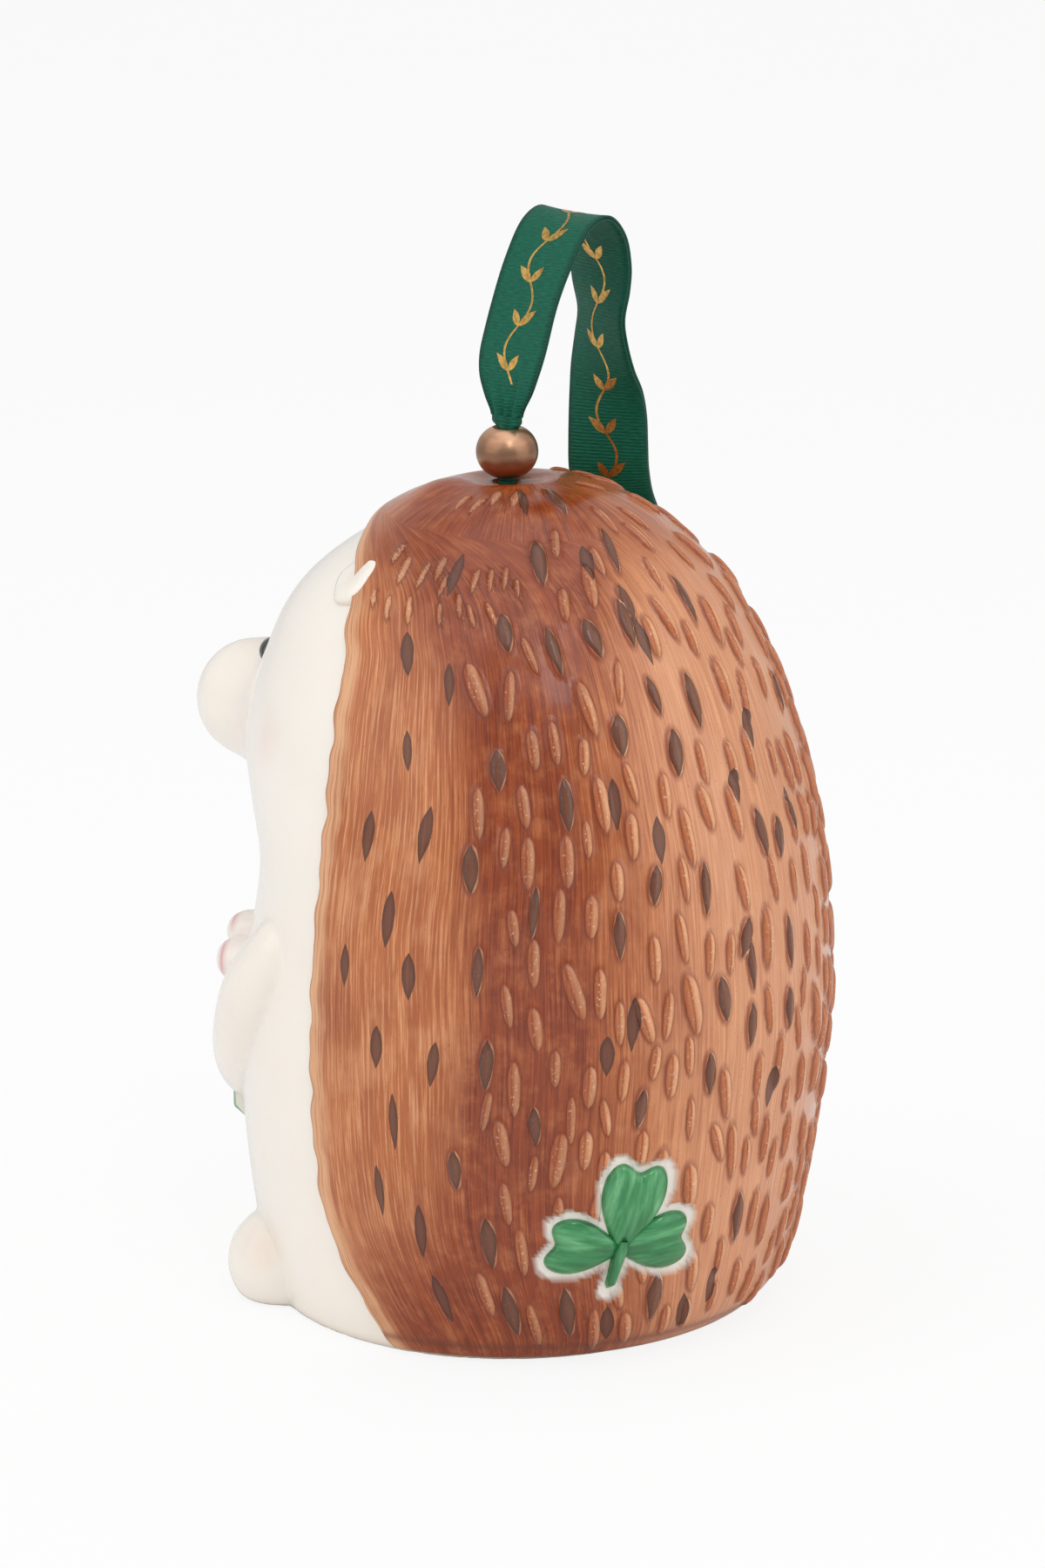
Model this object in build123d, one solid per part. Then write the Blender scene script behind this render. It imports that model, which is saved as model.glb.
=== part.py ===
from build123d import *
import os
from math import atan2, cos, hypot, pi, radians, sin, sqrt, tan

os.makedirs("parts", exist_ok=True)

# A hollow porcelain hedgehog bell that stands on its rim or hangs by a ribbon loop.
# Millimetres, +Z up. The hedgehog faces -Y and its left flank is on +X. The pieces are made about the
# bell axis, the upright line through the bead, and moved at the end so that the box is centred.

# Body form
body_height = 100.0
flank_reach = 33.2
front_reach = 34.5
back_reach = 37.8
wall = 3.0
coat_thickness = 0.8
cut_overrun = 6.0

shell_height = body_height - coat_thickness

# Shares of shell_height, flank_reach, front_reach and back_reach, from the rim to the crown.
form_shares = [
    (0.000, 0.876, 0.852, 0.780),
    (0.012, 0.901, 0.879, 0.810),
    (0.040, 0.922, 0.907, 0.841),
    (0.100, 0.946, 0.951, 0.886),
    (0.197, 0.976, 0.988, 0.942),
    (0.292, 0.994, 1.000, 0.976),
    (0.393, 1.000, 0.985, 1.000),
    (0.474, 0.997, 0.922, 0.995),
    (0.554, 0.985, 0.888, 0.975),
    (0.625, 0.967, 0.942, 0.940),
    (0.685, 0.940, 0.985, 0.892),
    (0.746, 0.901, 0.968, 0.839),
    (0.796, 0.849, 0.919, 0.786),
    (0.847, 0.777, 0.858, 0.714),
    (0.887, 0.699, 0.771, 0.650),
    (0.922, 0.602, 0.650, 0.566),
    (0.953, 0.494, 0.505, 0.466),
    (0.976, 0.373, 0.371, 0.352),
    (0.991, 0.253, 0.246, 0.234),
    (1.000, 0.120, 0.116, 0.106),
]

# Coat of quills
coat_rim_gap = 0.8
quill_length = 6.0
quill_width = 2.3
quill_proud = 0.6
quill_sink = 0.5
quill_row_pitch = 9.0
row_step = 0.3
quill_side_pitch = 8.2
quill_lowest = 7.0
quill_crown_clear = 11.0
quill_margin = 9.0
quill_lean_deg = 14.0
quill_seat_depth = 0.18
quill_sweep_deg = 112.0
quill_rise_wander = 1.8

# How far each quill strays from even rows: turns per quill and per row, then shares of side step and length.
wander_turns = {"side": (7.3, 3.1), "rise": (5.7, 1.9), "lean": (2.3, 4.1)}
side_wander_share = 0.17
length_wander_share = 0.14

# Shares of shell_height and of front_reach, for the edge between white face and brown coat.
parting_shares = [
    (-0.060, -0.030),
    (0.000, -0.015),
    (0.120, 0.060),
    (0.300, 0.145),
    (0.550, 0.175),
    (0.800, 0.130),
    (0.880, 0.230),
    (0.930, 0.480),
    (0.960, 0.620),
    (1.060, 0.800),
]

# Snout and nose
snout_height = 67.8
snout_reach = 39.5
snout_radius = 7.1
snout_root_radius = 9.4
snout_root_depth = 9.0
nose_radius = 2.2
nose_sink = 1.1
nose_lift_deg = 14.0

# Eyes and ears
eye_height = 76.2
eye_offset = 7.0
eye_radius = 2.0
eye_stretch_share = 1.35
eye_proud = 1.3
ear_height = 90.6
ear_from_back_deg = 115.0
ear_radius = 4.0
ear_depth_share = 0.62
ear_proud = 1.7

# Arms and feet
shoulder_height = 49.0
shoulder_from_back_deg = 119.0
shoulder_proud = 1.6
elbow_height = 33.0
elbow_from_back_deg = 143.0
elbow_proud = 3.8
paw_height = 26.0
paw_offset = 4.5
paw_proud = 4.2
arm_radius = 5.4
foot_from_front_deg = 45.0
foot_width = 13.0
foot_height = 12.6
foot_sole_cut = 1.0
foot_proud = 4.9

# Places along an arm from shoulder to paw, with the share of arm_radius there.
arm_shares = [
    (0.00, 0.30),
    (0.05, 0.62),
    (0.15, 0.88),
    (0.35, 1.00),
    (0.62, 1.00),
    (0.84, 0.90),
    (0.95, 0.62),
    (1.00, 0.30),
]

# Flower held in the left paw
flower_height = 39.2
flower_offset = 8.5
flower_petal_count = 5
flower_petal_radius = 2.9
flower_petal_ring = 3.5
flower_heart_radius = 2.3
flower_heart_thick = 0.9
flower_proud = 2.9
leaf_height = 25.8
leaf_offset = 13.0
leaf_length = 8.0
leaf_width = 4.6
leaf_proud = 1.3
leaf_spread_deg = 38.0

# Shamrock sprig
sprig_height = 17.5
sprig_from_back_deg = 37.0
sprig_lobe_radius = 2.5
sprig_leaf_reach = 5.1
sprig_lobe_spread = 1.75
sprig_leaf_turn_deg = 115.0
sprig_stem_length = 5.6
sprig_stem_width = 1.5
sprig_proud = 1.0
sprig_halo = 1.1
sprig_draw = 7.0

# Bead and ribbon
bead_radius = 3.8
bead_bore = 1.35
bead_gap = 0.3
crown_forward = 2.0
gather_gap = 0.7
crown_hole = 1.7
neck_radius = 1.1
ribbon_width = 10.0
ribbon_thick = 0.35
ribbon_gather_width = 4.4
ribbon_gather_height = 8.0
ribbon_bight_radius = 0.8
ribbon_rise = 23.0
ribbon_run = 19.0
flank_gap = 0.9
knot_width = 7.4
knot_height = 5.2

# Shares of the knot's half width and half height, round its side from bottom to top.
knot_shares = [(0, -1), (0.5, -1), (0.95, -0.45), (0.95, 0.45), (0.5, 1), (0, 1)]

# Clapper
eye_ring_radius = 1.7
eye_wire_radius = 0.5
eye_sink = 0.3
link_radius = 2.0
link_wire_radius = 0.4
link_gap = 0.12
wire_sides = 6
clapper_wire_radius = 0.45
clapper_ball_height = 31.0
clapper_ball_radius = 5.0
clapper_collar_radius = 1.1
clapper_collar_height = 1.6

# Shares of ribbon_run and ribbon_rise for the arch, then of shell_height for the drape on the flank.
ribbon_arch_shares = [
    (0.00, 0.30),
    (0.12, 0.68),
    (0.45, 1.03),
    (0.92, 0.98),
    (1.02, 0.60),
    (0.96, 0.10),
]
ribbon_fall_shares = [0.935, 0.86, 0.76, 0.70]

# How much of each straight run a bend may take at one end.
bend_fill_share = 0.45

# Heights that follow
bead_half_height = sqrt(bead_radius**2 - bead_bore**2)
bead_height = body_height + bead_gap + bead_half_height
bead_top = bead_height + bead_half_height
ribbon_base = bead_top + gather_gap
inner_top = shell_height - wall
eye_height_inside = inner_top - knot_height - eye_ring_radius + eye_sink
link_top = eye_height_inside - eye_ring_radius + eye_wire_radius + link_gap + link_wire_radius
link_height = link_top - link_radius
wire_eye_top = link_height - link_radius + link_wire_radius + link_gap + clapper_wire_radius
wire_eye_height = wire_eye_top - eye_ring_radius

deepest_reach = snout_reach + snout_radius + nose_radius - nose_sink
axis_shift = (deepest_reach - back_reach - coat_thickness - quill_proud) / 2


def share_between(rows, place, column):
    """A column of a table of shares at any place between its rows, by a smooth cubic."""
    last = len(rows) - 1
    index = 0
    while index < last - 1 and place > rows[index + 1][0]:
        index += 1
    here, there = rows[index], rows[index + 1]
    before, after = rows[max(index - 1, 0)], rows[min(index + 2, last)]
    span = there[0] - here[0]
    slope_in = (there[column] - before[column]) / (there[0] - before[0])
    slope_out = (after[column] - here[column]) / (after[0] - here[0])
    step = (place - here[0]) / span
    return (
        here[column] * (2 * step**3 - 3 * step**2 + 1)
        + there[column] * (3 * step**2 - 2 * step**3)
        + slope_in * span * (step**3 - 2 * step**2 + step)
        + slope_out * span * (step**3 - step**2)
    )


def reaches(height):
    """Flank, front and back reach of the shell at a height."""
    place = min(max(height / shell_height, 0), 1)
    return (
        flank_reach * share_between(form_shares, place, 1),
        front_reach * share_between(form_shares, place, 2),
        back_reach * share_between(form_shares, place, 3),
    )


def parting(height):
    """How far in front of the bell axis the coat starts at a height."""
    return front_reach * share_between(parting_shares, height / shell_height, 1)


def on_form(height, from_back, growth=0.0):
    """A point on the form at a height and an angle from the middle of the back towards +X."""
    flank, front, back = reaches(height)
    reach = back if cos(from_back) > 0 else front
    widen = 1 + growth / flank_reach
    lift = 1 + growth / shell_height
    return Vector(flank * widen * sin(from_back), reach * widen * cos(from_back), height * lift)


def outward(height, from_back):
    """The form's outward direction there, from two short steps on the surface."""
    step = wall / 10
    turn = step / flank_reach
    up = on_form(height + step, from_back) - on_form(height - step, from_back)
    side = on_form(height, from_back + turn) - on_form(height, from_back - turn)
    return up.cross(side).normalized()


def seat_plane(height, from_back, growth=0.0):
    """A plane on the form: its z points outward and its x runs level."""
    normal = outward(height, from_back)
    level = Vector(0, 0, 1).cross(normal)
    return Plane(origin=on_form(height, from_back, growth), x_dir=level, z_dir=normal)


def level_plane(height, from_back):
    """An upright plane that faces outward level, at a place on the form."""
    normal = outward(height, from_back)
    flat = Vector(normal.X, normal.Y, 0).normalized()
    return Plane(origin=on_form(height, from_back), x_dir=Vector(0, 0, 1).cross(flat), z_dir=flat)


def bell_form(growth, drop=0.0):
    """The body as one smooth closed solid, grown all round, its foot lowered by drop."""
    widen = 1 + growth / flank_reach
    lift = 1 + growth / shell_height
    rows = list(form_shares)
    if drop:
        rows.insert(0, (-drop / shell_height, *form_shares[0][1:]))
    sections = []
    for height_share, flank_share, front_share, back_share in rows:
        flank = flank_reach * flank_share * widen
        front = EllipticalCenterArc((0, 0), flank, front_reach * front_share * widen, 180, arc_size=180)
        back = EllipticalCenterArc((0, 0), flank, back_reach * back_share * widen, 0, arc_size=180)
        level = Plane.XY.offset(height_share * shell_height * lift)
        sections.append(level * make_face([front, back]))
    return loft(sections)


def upright_prism(outline, depth):
    """An outline in a plane, drawn out both ways along its normal."""
    return extrude(outline, amount=depth, both=True)


def front_region():
    """Everything in front of the coat's edge."""
    points = [(-front_reach * reach, shell_height * height) for height, reach in parting_shares]
    edge = Spline(*points)
    far = -(front_reach + cut_overrun)
    border = Polyline(points[-1], (far, points[-1][1]), (far, points[0][1]), points[0])
    return upright_prism(Plane.YZ * make_face([edge, border]), flank_reach + cut_overrun)


def quill(height, from_back, lean, stretch):
    """One leaf-shaped ridge that points down the coat, its foot sunk in the surface."""
    seat = seat_plane(height, from_back, coat_thickness)
    along = seat.y_dir * cos(lean) + seat.x_dir * sin(lean)
    across = Plane(origin=seat.origin, x_dir=along.cross(seat.z_dir), z_dir=along)
    half_width = quill_width / 2
    rib = Polyline(
        (half_width, 0), (0, -quill_proud), (-half_width, 0), (0, quill_sink), close=True
    )
    reach = along * (quill_length * stretch / 2)
    low = seat.origin - seat.z_dir * quill_seat_depth
    return Solid.make_loft(
        [Vertex(low + reach), (across * rib).wire(), Vertex(low - reach)], ruled=True
    )


def quill_rows():
    """Heights of the quill rows, evenly spaced along the back from the rim to the crown."""
    heights = []
    height = quill_lowest
    walked = quill_row_pitch
    while reaches(height)[2] > quill_crown_clear:
        if walked >= quill_row_pitch:
            heights.append(height)
            walked = 0.0
        back, next_back = reaches(height)[2], reaches(height + row_step)[2]
        walked += hypot(row_step, next_back - back)
        height += row_step
    return heights


def wander(kind, index, row):
    """A steady wave from -1 to 1 that sets a quill off its row."""
    by_quill, by_row = wander_turns[kind]
    return sin(by_quill * index + by_row * row)


def quills():
    """Staggered rows of quills on the back and flanks, clear of the edge and of the sprig."""
    made = []
    sprig_place = on_form(sprig_height, radians(sprig_from_back_deg))
    sprig_clear = sprig_leaf_reach + sprig_lobe_radius + sprig_halo + quill_length / 2
    for row, height in enumerate(quill_rows()):
        flank, _, back = reaches(height)
        half_turn = pi * (flank + back) / 2
        count = max(int(half_turn / quill_side_pitch), 3)
        for index in range(-count, count + 1):
            stagger = row % 2 / 2 + side_wander_share * wander("side", index, row)
            from_back = radians(quill_sweep_deg) * (index + stagger) / count
            place = height + quill_rise_wander * wander("rise", index, row)
            spot = on_form(place, from_back)
            if spot.Y < quill_margin - parting(place):
                continue
            if (spot - sprig_place).length < sprig_clear:
                continue
            lean = radians(quill_lean_deg) * wander("lean", index, row)
            stretch = 1 + length_wander_share * wander("side", index, row)
            made.append(quill(place, from_back, lean, stretch))
    return made


def heart_leaf(turn_deg, growth):
    """One heart leaf of the sprig, drawn upright and turned about the sprig's middle."""
    radius = sprig_lobe_radius + growth
    lobes = Pos(-sprig_lobe_spread, sprig_leaf_reach) * Circle(radius)
    lobes += Pos(sprig_lobe_spread, sprig_leaf_reach) * Circle(radius)
    shoulder = sprig_lobe_spread + radius
    point = Polyline((0, -growth), (shoulder, sprig_leaf_reach), (-shoulder, sprig_leaf_reach), close=True)
    return Rot(0, 0, turn_deg) * (lobes + make_face(point))


def sprig_outline(growth):
    """Three heart leaves and a stem, each edge moved out by growth."""
    outline = heart_leaf(0, growth) + heart_leaf(sprig_leaf_turn_deg, growth)
    outline += heart_leaf(-sprig_leaf_turn_deg, growth) + Circle(sprig_stem_width / 2 + 2 * growth)
    half = sprig_stem_width / 2 + growth
    foot = -(sprig_stem_length + growth)
    stem = Polyline((-half, 0), (-half - sprig_stem_width / 2, foot), (half, foot), (half, 0), close=True)
    return outline + make_face(stem)


def sprig_prism(growth):
    """The sprig's outline drawn through the coat, square to the form at its place."""
    seat = level_plane(sprig_height, radians(sprig_from_back_deg))
    return upright_prism(seat * sprig_outline(growth), sprig_draw)


def make_coat(halo):
    """A skin on the shell behind the coat's edge, with its quills and the sprig's bare place."""
    skin = bell_form(coat_thickness) - form - front_region()
    skin -= Pos(0, 0, coat_rim_gap) * below_ground
    return skin.fuse(*quills()) - crown_bore - halo


def make_shell():
    """The hollow bell: one even wall, open at the rim, with the ribbon's hole in the crown."""
    return form - bell_form(-wall, cut_overrun) - crown_bore


def make_snout():
    """A blunt cone that grows out of the face into a round end."""
    ball = Pos(0, -snout_reach, snout_height) * Sphere(snout_radius)
    root = snout_reach - reaches(snout_height)[1] + snout_root_depth
    base = Plane(origin=(0, root - snout_reach, snout_height), z_dir=(0, -1, 0))
    cone = base * Cone(snout_root_radius, snout_radius, root, align=(Align.CENTER, Align.CENTER, Align.MIN))
    return cone + ball - form


def make_nose(snout):
    """The small round nose, set a little above the snout's middle."""
    lift = radians(nose_lift_deg)
    reach = snout_radius - nose_sink
    place = Pos(0, -snout_reach - reach * cos(lift), snout_height + reach * sin(lift))
    return place * Sphere(nose_radius) - snout


def front_angle(height, offset):
    """The angle from the middle of the back of a place on the front, at an offset in X."""
    return pi - atan2(offset, reaches(height)[0] * sqrt(1 - (offset / reaches(height)[0]) ** 2))


def make_eye(side):
    """A raised oval eye."""
    seat = seat_plane(eye_height, side * front_angle(eye_height, eye_offset))
    drop = eye_radius - eye_proud
    oval = scale(Sphere(eye_radius), by=(1, eye_stretch_share, 1))
    return Plane(origin=seat.origin - seat.z_dir * drop, x_dir=seat.x_dir, z_dir=seat.z_dir) * oval - form


def make_ear(side, coat):
    """A small round ear in relief, where the coat's edge crosses the brow."""
    seat = seat_plane(ear_height, side * radians(ear_from_back_deg))
    flat = scale(Sphere(ear_radius), by=(1, 1, ear_depth_share))
    drop = ear_radius * ear_depth_share - ear_proud
    place = Plane(origin=seat.origin - seat.z_dir * drop, x_dir=seat.x_dir, z_dir=seat.z_dir)
    return place * flat - form - coat


def arm_form(side):
    """An arm's whole form: round sections along a curve over shoulder, elbow and paw."""
    shoulder_turn = side * radians(shoulder_from_back_deg)
    elbow_turn = side * radians(elbow_from_back_deg)
    paw_turn = side * front_angle(paw_height, paw_offset)
    path = Spline(
        on_form(shoulder_height, shoulder_turn, shoulder_proud - arm_radius),
        on_form(elbow_height, elbow_turn, elbow_proud - arm_radius),
        on_form(paw_height, paw_turn, paw_proud - arm_radius),
    )
    sections = []
    for place, radius_share in arm_shares:
        across = Plane(origin=path @ place, z_dir=path % place)
        sections.append(across * Circle(arm_radius * radius_share))
    return loft(sections)


def make_foot(side):
    """A round foot, flat underneath."""
    middle = foot_height / 2 - foot_sole_cut
    turn = side * (pi - radians(foot_from_front_deg))
    spot = on_form(middle, turn, foot_proud - foot_width / 2)
    ball = scale(Sphere(foot_width / 2), by=(1, 1, foot_height / foot_width))
    return Pos(spot.X, spot.Y, middle) * ball - below_ground - form


def make_flower():
    """Five round petals and a heart, held against the chest."""
    seat = level_plane(flower_height, front_angle(flower_height, flower_offset)).offset(flower_proud)
    ring = Sketch()
    for index in range(flower_petal_count):
        turn = 2 * pi * index / flower_petal_count + pi / 2
        spot = Pos(flower_petal_ring * cos(turn), flower_petal_ring * sin(turn))
        ring += spot * Circle(flower_petal_radius)
    petals = extrude(seat * (ring + Circle(flower_petal_ring)), amount=-(flower_proud + flower_petal_ring))
    heart = extrude(seat * Circle(flower_heart_radius), amount=flower_heart_thick)
    return petals + heart - arm_form(1) - form


def make_leaves(flower):
    """Two leaves that spread from the stem below the flower."""
    seat = level_plane(leaf_height, front_angle(leaf_height, leaf_offset)).offset(leaf_proud)
    half = leaf_length / 2
    leaves = Sketch()
    for turn in (-leaf_spread_deg, leaf_spread_deg):
        upper = ThreePointArc((0, half), (leaf_width / 2, 0), (0, -half))
        lower = ThreePointArc((0, -half), (-leaf_width / 2, 0), (0, half))
        leaves += Rot(0, 0, turn) * Pos(0, -half) * make_face([upper, lower])
    stem = Pos(0, half / 2) * Rectangle(leaf_width / 3, half)
    return extrude(seat * (leaves + stem), amount=-(leaf_proud + wall)) - arm_form(1) - form - flower


def make_bead():
    """A round bead drilled for the ribbon."""
    return Pos(0, 0, bead_height) * (Sphere(bead_radius) - Cylinder(bead_bore, 2 * bead_radius))


def ribbon_points():
    """The loop's side view: up from the bead, over, and down the far flank."""
    points = [(0, ribbon_base)]
    for run_share, rise_share in ribbon_arch_shares:
        points.append((-ribbon_run * run_share, ribbon_base + ribbon_rise * rise_share))
    off = coat_thickness + quill_proud + flank_gap + ribbon_bight_radius
    for height_share in ribbon_fall_shares:
        drape = on_form(shell_height * height_share, -pi / 2, off)
        points.append((drape.X, drape.Z))
    return points


def bend_radii(points):
    """The largest arc that each corner's two runs allow."""
    radii = []
    for before, here, after in zip(points, points[1:], points[2:]):
        run_in = Vector(*here) - Vector(*before)
        run_out = Vector(*after) - Vector(*here)
        turn = radians(run_in.get_angle(run_out))
        radii.append(bend_fill_share * min(run_in.length, run_out.length) / tan(turn / 2))
    return radii


def make_ribbon_loop():
    """Two layers of ribbon laid together, with the round bight at the far end."""
    points = ribbon_points()
    middle = FilletPolyline(*points, radius=bend_radii(points))
    strip = trace(middle, 2 * ribbon_thick) + Pos(middle @ 1) * Circle(ribbon_bight_radius)
    return upright_prism(Plane.XZ * strip, ribbon_width / 2) - gather_cuts()


def gather_cuts():
    """Wedges that narrow the ribbon to its gather above the bead."""
    cuts = Part()
    wide = ribbon_width / 2 + ribbon_thick
    for side in (-1, 1):
        corner = Polyline(
            (side * ribbon_gather_width / 2, ribbon_base - ribbon_thick),
            (side * wide, ribbon_base + ribbon_gather_height),
            (side * wide, ribbon_base - ribbon_thick),
            close=True,
        )
        cuts += upright_prism(Plane.YZ * make_face(corner), ribbon_run / 4)
    return cuts


def make_neck(knot):
    """The gathered ribbon from the knot through the crown and the bead."""
    return Pos(0, 0, (inner_top + bead_top) / 2) * Cylinder(neck_radius, bead_top - inner_top) - knot


def ring(radius, wire, height, turned):
    """A wire ring hung upright, its hole facing along X, or along Y when turned."""
    upright = Rot(90, 0, 0) if turned else Rot(0, 90, 0)
    section = Plane.XZ * Pos(radius, 0) * RegularPolygon(wire, wire_sides)
    return Pos(0, 0, height) * upright * revolve(section, Axis.Z)


def make_knot():
    """The knot under the crown, with the eye that the clapper hangs from."""
    half_width = knot_width / 2
    half_height = knot_height / 2
    profile = [(half_width * out, half_height * up) for out, up in knot_shares]
    ball = revolve(Plane.XZ * make_face(Polyline(*profile, close=True)), Axis.Z)
    knot = Pos(0, 0, inner_top - half_height) * ball
    return knot + ring(eye_ring_radius, eye_wire_radius, eye_height_inside, False)


def make_clapper_wire():
    """The clapper's wire: an eye on the link and a straight stem into the ball."""
    eye = ring(eye_ring_radius, clapper_wire_radius, wire_eye_height, False)
    high = wire_eye_height - eye_ring_radius
    low = clapper_ball_height
    return eye + Pos(0, 0, (low + high) / 2) * Cylinder(clapper_wire_radius, high - low)


def make_clapper_ball(wire):
    """The clapper's ball, drilled for its wire, with a small collar on top."""
    ball = Pos(0, 0, clapper_ball_height) * Sphere(clapper_ball_radius)
    collar_at = clapper_ball_height + clapper_ball_radius
    collar = Pos(0, 0, collar_at) * Cylinder(clapper_collar_radius, 2 * clapper_collar_height)
    return ball + collar - wire


form = bell_form(0)
below_ground = Pos(0, 0, -body_height / 2) * Box(body_height, body_height, body_height)
crown_bore = Pos(0, -crown_forward, body_height) * Cylinder(crown_hole, 2 * cut_overrun)
shell = make_shell()
coat = make_coat(sprig_prism(sprig_halo))
snout = make_snout()
flower = make_flower()
knot = make_knot()
wire = make_clapper_wire()

body_pieces = {
    "bell_shell": shell,
    "spiny_coat": coat,
    "snout": snout,
    "nose_tip": make_nose(snout),
    "left_eye": make_eye(1),
    "right_eye": make_eye(-1),
    "left_ear": make_ear(1, coat),
    "right_ear": make_ear(-1, coat),
    "left_arm": arm_form(1) - form,
    "right_arm": arm_form(-1) - form,
    "left_foot": make_foot(1),
    "right_foot": make_foot(-1),
    "flower_head": flower,
    "flower_leaves": make_leaves(flower),
    "shamrock_sprig": (sprig_prism(0) & bell_form(coat_thickness + sprig_proud)) - form,
}
hung_pieces = {
    "top_bead": make_bead(),
    "ribbon_loop": make_ribbon_loop(),
    "ribbon_neck": make_neck(knot),
    "ribbon_knot": knot,
    "clapper_link": ring(link_radius, link_wire_radius, link_height, True),
    "clapper_wire": wire,
    "clapper_ball": make_clapper_ball(wire),
}
for name, piece in body_pieces.items():
    export_step(Pos(0, axis_shift, 0) * piece, f"parts/{name}.step")
for name, piece in hung_pieces.items():
    export_step(Pos(0, axis_shift - crown_forward, 0) * piece, f"parts/{name}.step")

print("form axis at y", round(axis_shift, 3))
print("hanging axis at y", round(axis_shift - crown_forward, 3))
print("ribbon points", [(round(x, 2), round(z, 2)) for x, z in ribbon_points()])
print("ribbon bends", [round(radius, 1) for radius in bend_radii(ribbon_points())])
print("quills", len(quills()))
print("swing pivot height", round(ribbon_base, 3))
print("link pivot height", round(eye_height_inside - eye_ring_radius, 3))
print("clapper pivot height", round(link_height - link_radius, 3))
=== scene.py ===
# %% [markdown]
# A glazed porcelain hedgehog bell, dressed for a picture. The bell stands on its rim: a white body with
# a muzzle, paws and ears, a brown coat of raised quills brushed with darker leaf-shaped strokes, a green
# shamrock low on the back, a copper bead and a loop of green satin ribbon to hang it by. The solids that
# move and collide are already made. This lesson loads them and gives each one the surface that the real
# thing has. Lengths are worked out in millimetres and turned into metres as a mesh is made.

# %% Load the frame
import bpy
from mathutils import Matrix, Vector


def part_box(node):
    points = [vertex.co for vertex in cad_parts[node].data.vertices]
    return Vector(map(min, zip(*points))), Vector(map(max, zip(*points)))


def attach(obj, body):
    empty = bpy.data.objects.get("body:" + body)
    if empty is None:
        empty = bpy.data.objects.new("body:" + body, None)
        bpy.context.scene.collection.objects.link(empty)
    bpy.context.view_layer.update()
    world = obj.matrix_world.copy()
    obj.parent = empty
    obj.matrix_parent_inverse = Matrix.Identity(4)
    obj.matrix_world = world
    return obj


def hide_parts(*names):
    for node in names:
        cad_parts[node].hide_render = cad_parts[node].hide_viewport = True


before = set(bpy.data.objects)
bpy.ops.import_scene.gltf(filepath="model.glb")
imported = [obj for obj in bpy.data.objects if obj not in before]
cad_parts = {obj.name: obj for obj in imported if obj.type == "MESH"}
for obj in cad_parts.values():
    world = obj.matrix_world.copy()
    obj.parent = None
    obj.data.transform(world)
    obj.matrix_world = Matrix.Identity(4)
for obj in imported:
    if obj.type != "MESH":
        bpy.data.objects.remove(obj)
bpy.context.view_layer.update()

# %% Tools and units
import math

import bpy
import numpy as np
from mathutils import Vector

mm = 0.001
form_axis_y = 4.25
hanging_axis_y = 2.25


def round_turns(count):
    """Evenly spaced turns right round, in radians."""
    return np.linspace(0, 2 * np.pi, count, endpoint=False)


def unit(vectors):
    """Vectors made one long."""
    return vectors / np.maximum(np.linalg.norm(vectors, axis=-1, keepdims=True), 1e-9)


def soft_step(low, high, value):
    """0 below low, 1 above high, and smooth between."""
    t = np.clip((value - low) / (high - low), 0, 1)
    return t * t * (3 - 2 * t)


def about_hanging_line(radius, turn, height):
    """Points round the upright line that the bell hangs by."""
    x, y = radius * np.sin(turn), hanging_axis_y + radius * np.cos(turn)
    return np.stack(np.broadcast_arrays(x, y, height), axis=-1)


print("the egg's axis is", form_axis_y - hanging_axis_y, "mm behind the line it hangs by")

# %% [markdown]
# The body is an upright egg cut level at the rim. Each level is two half ellipses that share one width,
# because the belly and the back don't bulge alike. One table gives their reaches from rim to crown, and
# a smooth cubic runs between its rows. Everything that lies on the bell, from a quill to the shamrock,
# takes its place from this one form, so nothing floats or sinks.

# %% The bell's form
shell_height = 99.2
flank_reach = 33.2
front_reach = 34.5
back_reach = 37.8
coat_thickness = 0.8
form_rows = np.array([
    (0.000, 0.872, 0.886, 0.712),
    (0.012, 0.894, 0.900, 0.762),
    (0.040, 0.918, 0.914, 0.824),
    (0.100, 0.942, 0.951, 0.878),
    (0.197, 0.972, 0.988, 0.934),
    (0.292, 0.994, 1.000, 0.972),
    (0.393, 1.000, 0.985, 1.000),
    (0.474, 0.997, 0.922, 0.995),
    (0.554, 0.985, 0.888, 0.975),
    (0.625, 0.967, 0.942, 0.940),
    (0.685, 0.940, 0.985, 0.892),
    (0.746, 0.901, 0.968, 0.839),
    (0.796, 0.849, 0.919, 0.786),
    (0.847, 0.777, 0.858, 0.714),
    (0.887, 0.699, 0.771, 0.650),
    (0.922, 0.602, 0.650, 0.566),
    (0.953, 0.494, 0.505, 0.466),
    (0.976, 0.373, 0.371, 0.352),
    (0.991, 0.253, 0.246, 0.234),
    (1.000, 0.120, 0.116, 0.106),
])


def through_rows(rows, place, column):
    """A column of a table at any place between its rows, by a smooth cubic."""
    place = np.asarray(place, float)
    last = len(rows) - 1
    at = np.clip(np.searchsorted(rows[:, 0], place, side="right") - 1, 0, last - 1)
    here, there = rows[at], rows[at + 1]
    before, after = rows[np.maximum(at - 1, 0)], rows[np.minimum(at + 2, last)]
    span = there[..., 0] - here[..., 0]
    slope_in = (there[..., column] - before[..., column]) / (there[..., 0] - before[..., 0])
    slope_out = (after[..., column] - here[..., column]) / (after[..., 0] - here[..., 0])
    t = np.clip((place - here[..., 0]) / span, 0, 1)
    return (here[..., column] * (2 * t**3 - 3 * t**2 + 1) + there[..., column] * (3 * t**2 - 2 * t**3)
            + slope_in * span * (t**3 - 2 * t**2 + t) + slope_out * span * (t**3 - t**2))


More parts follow.
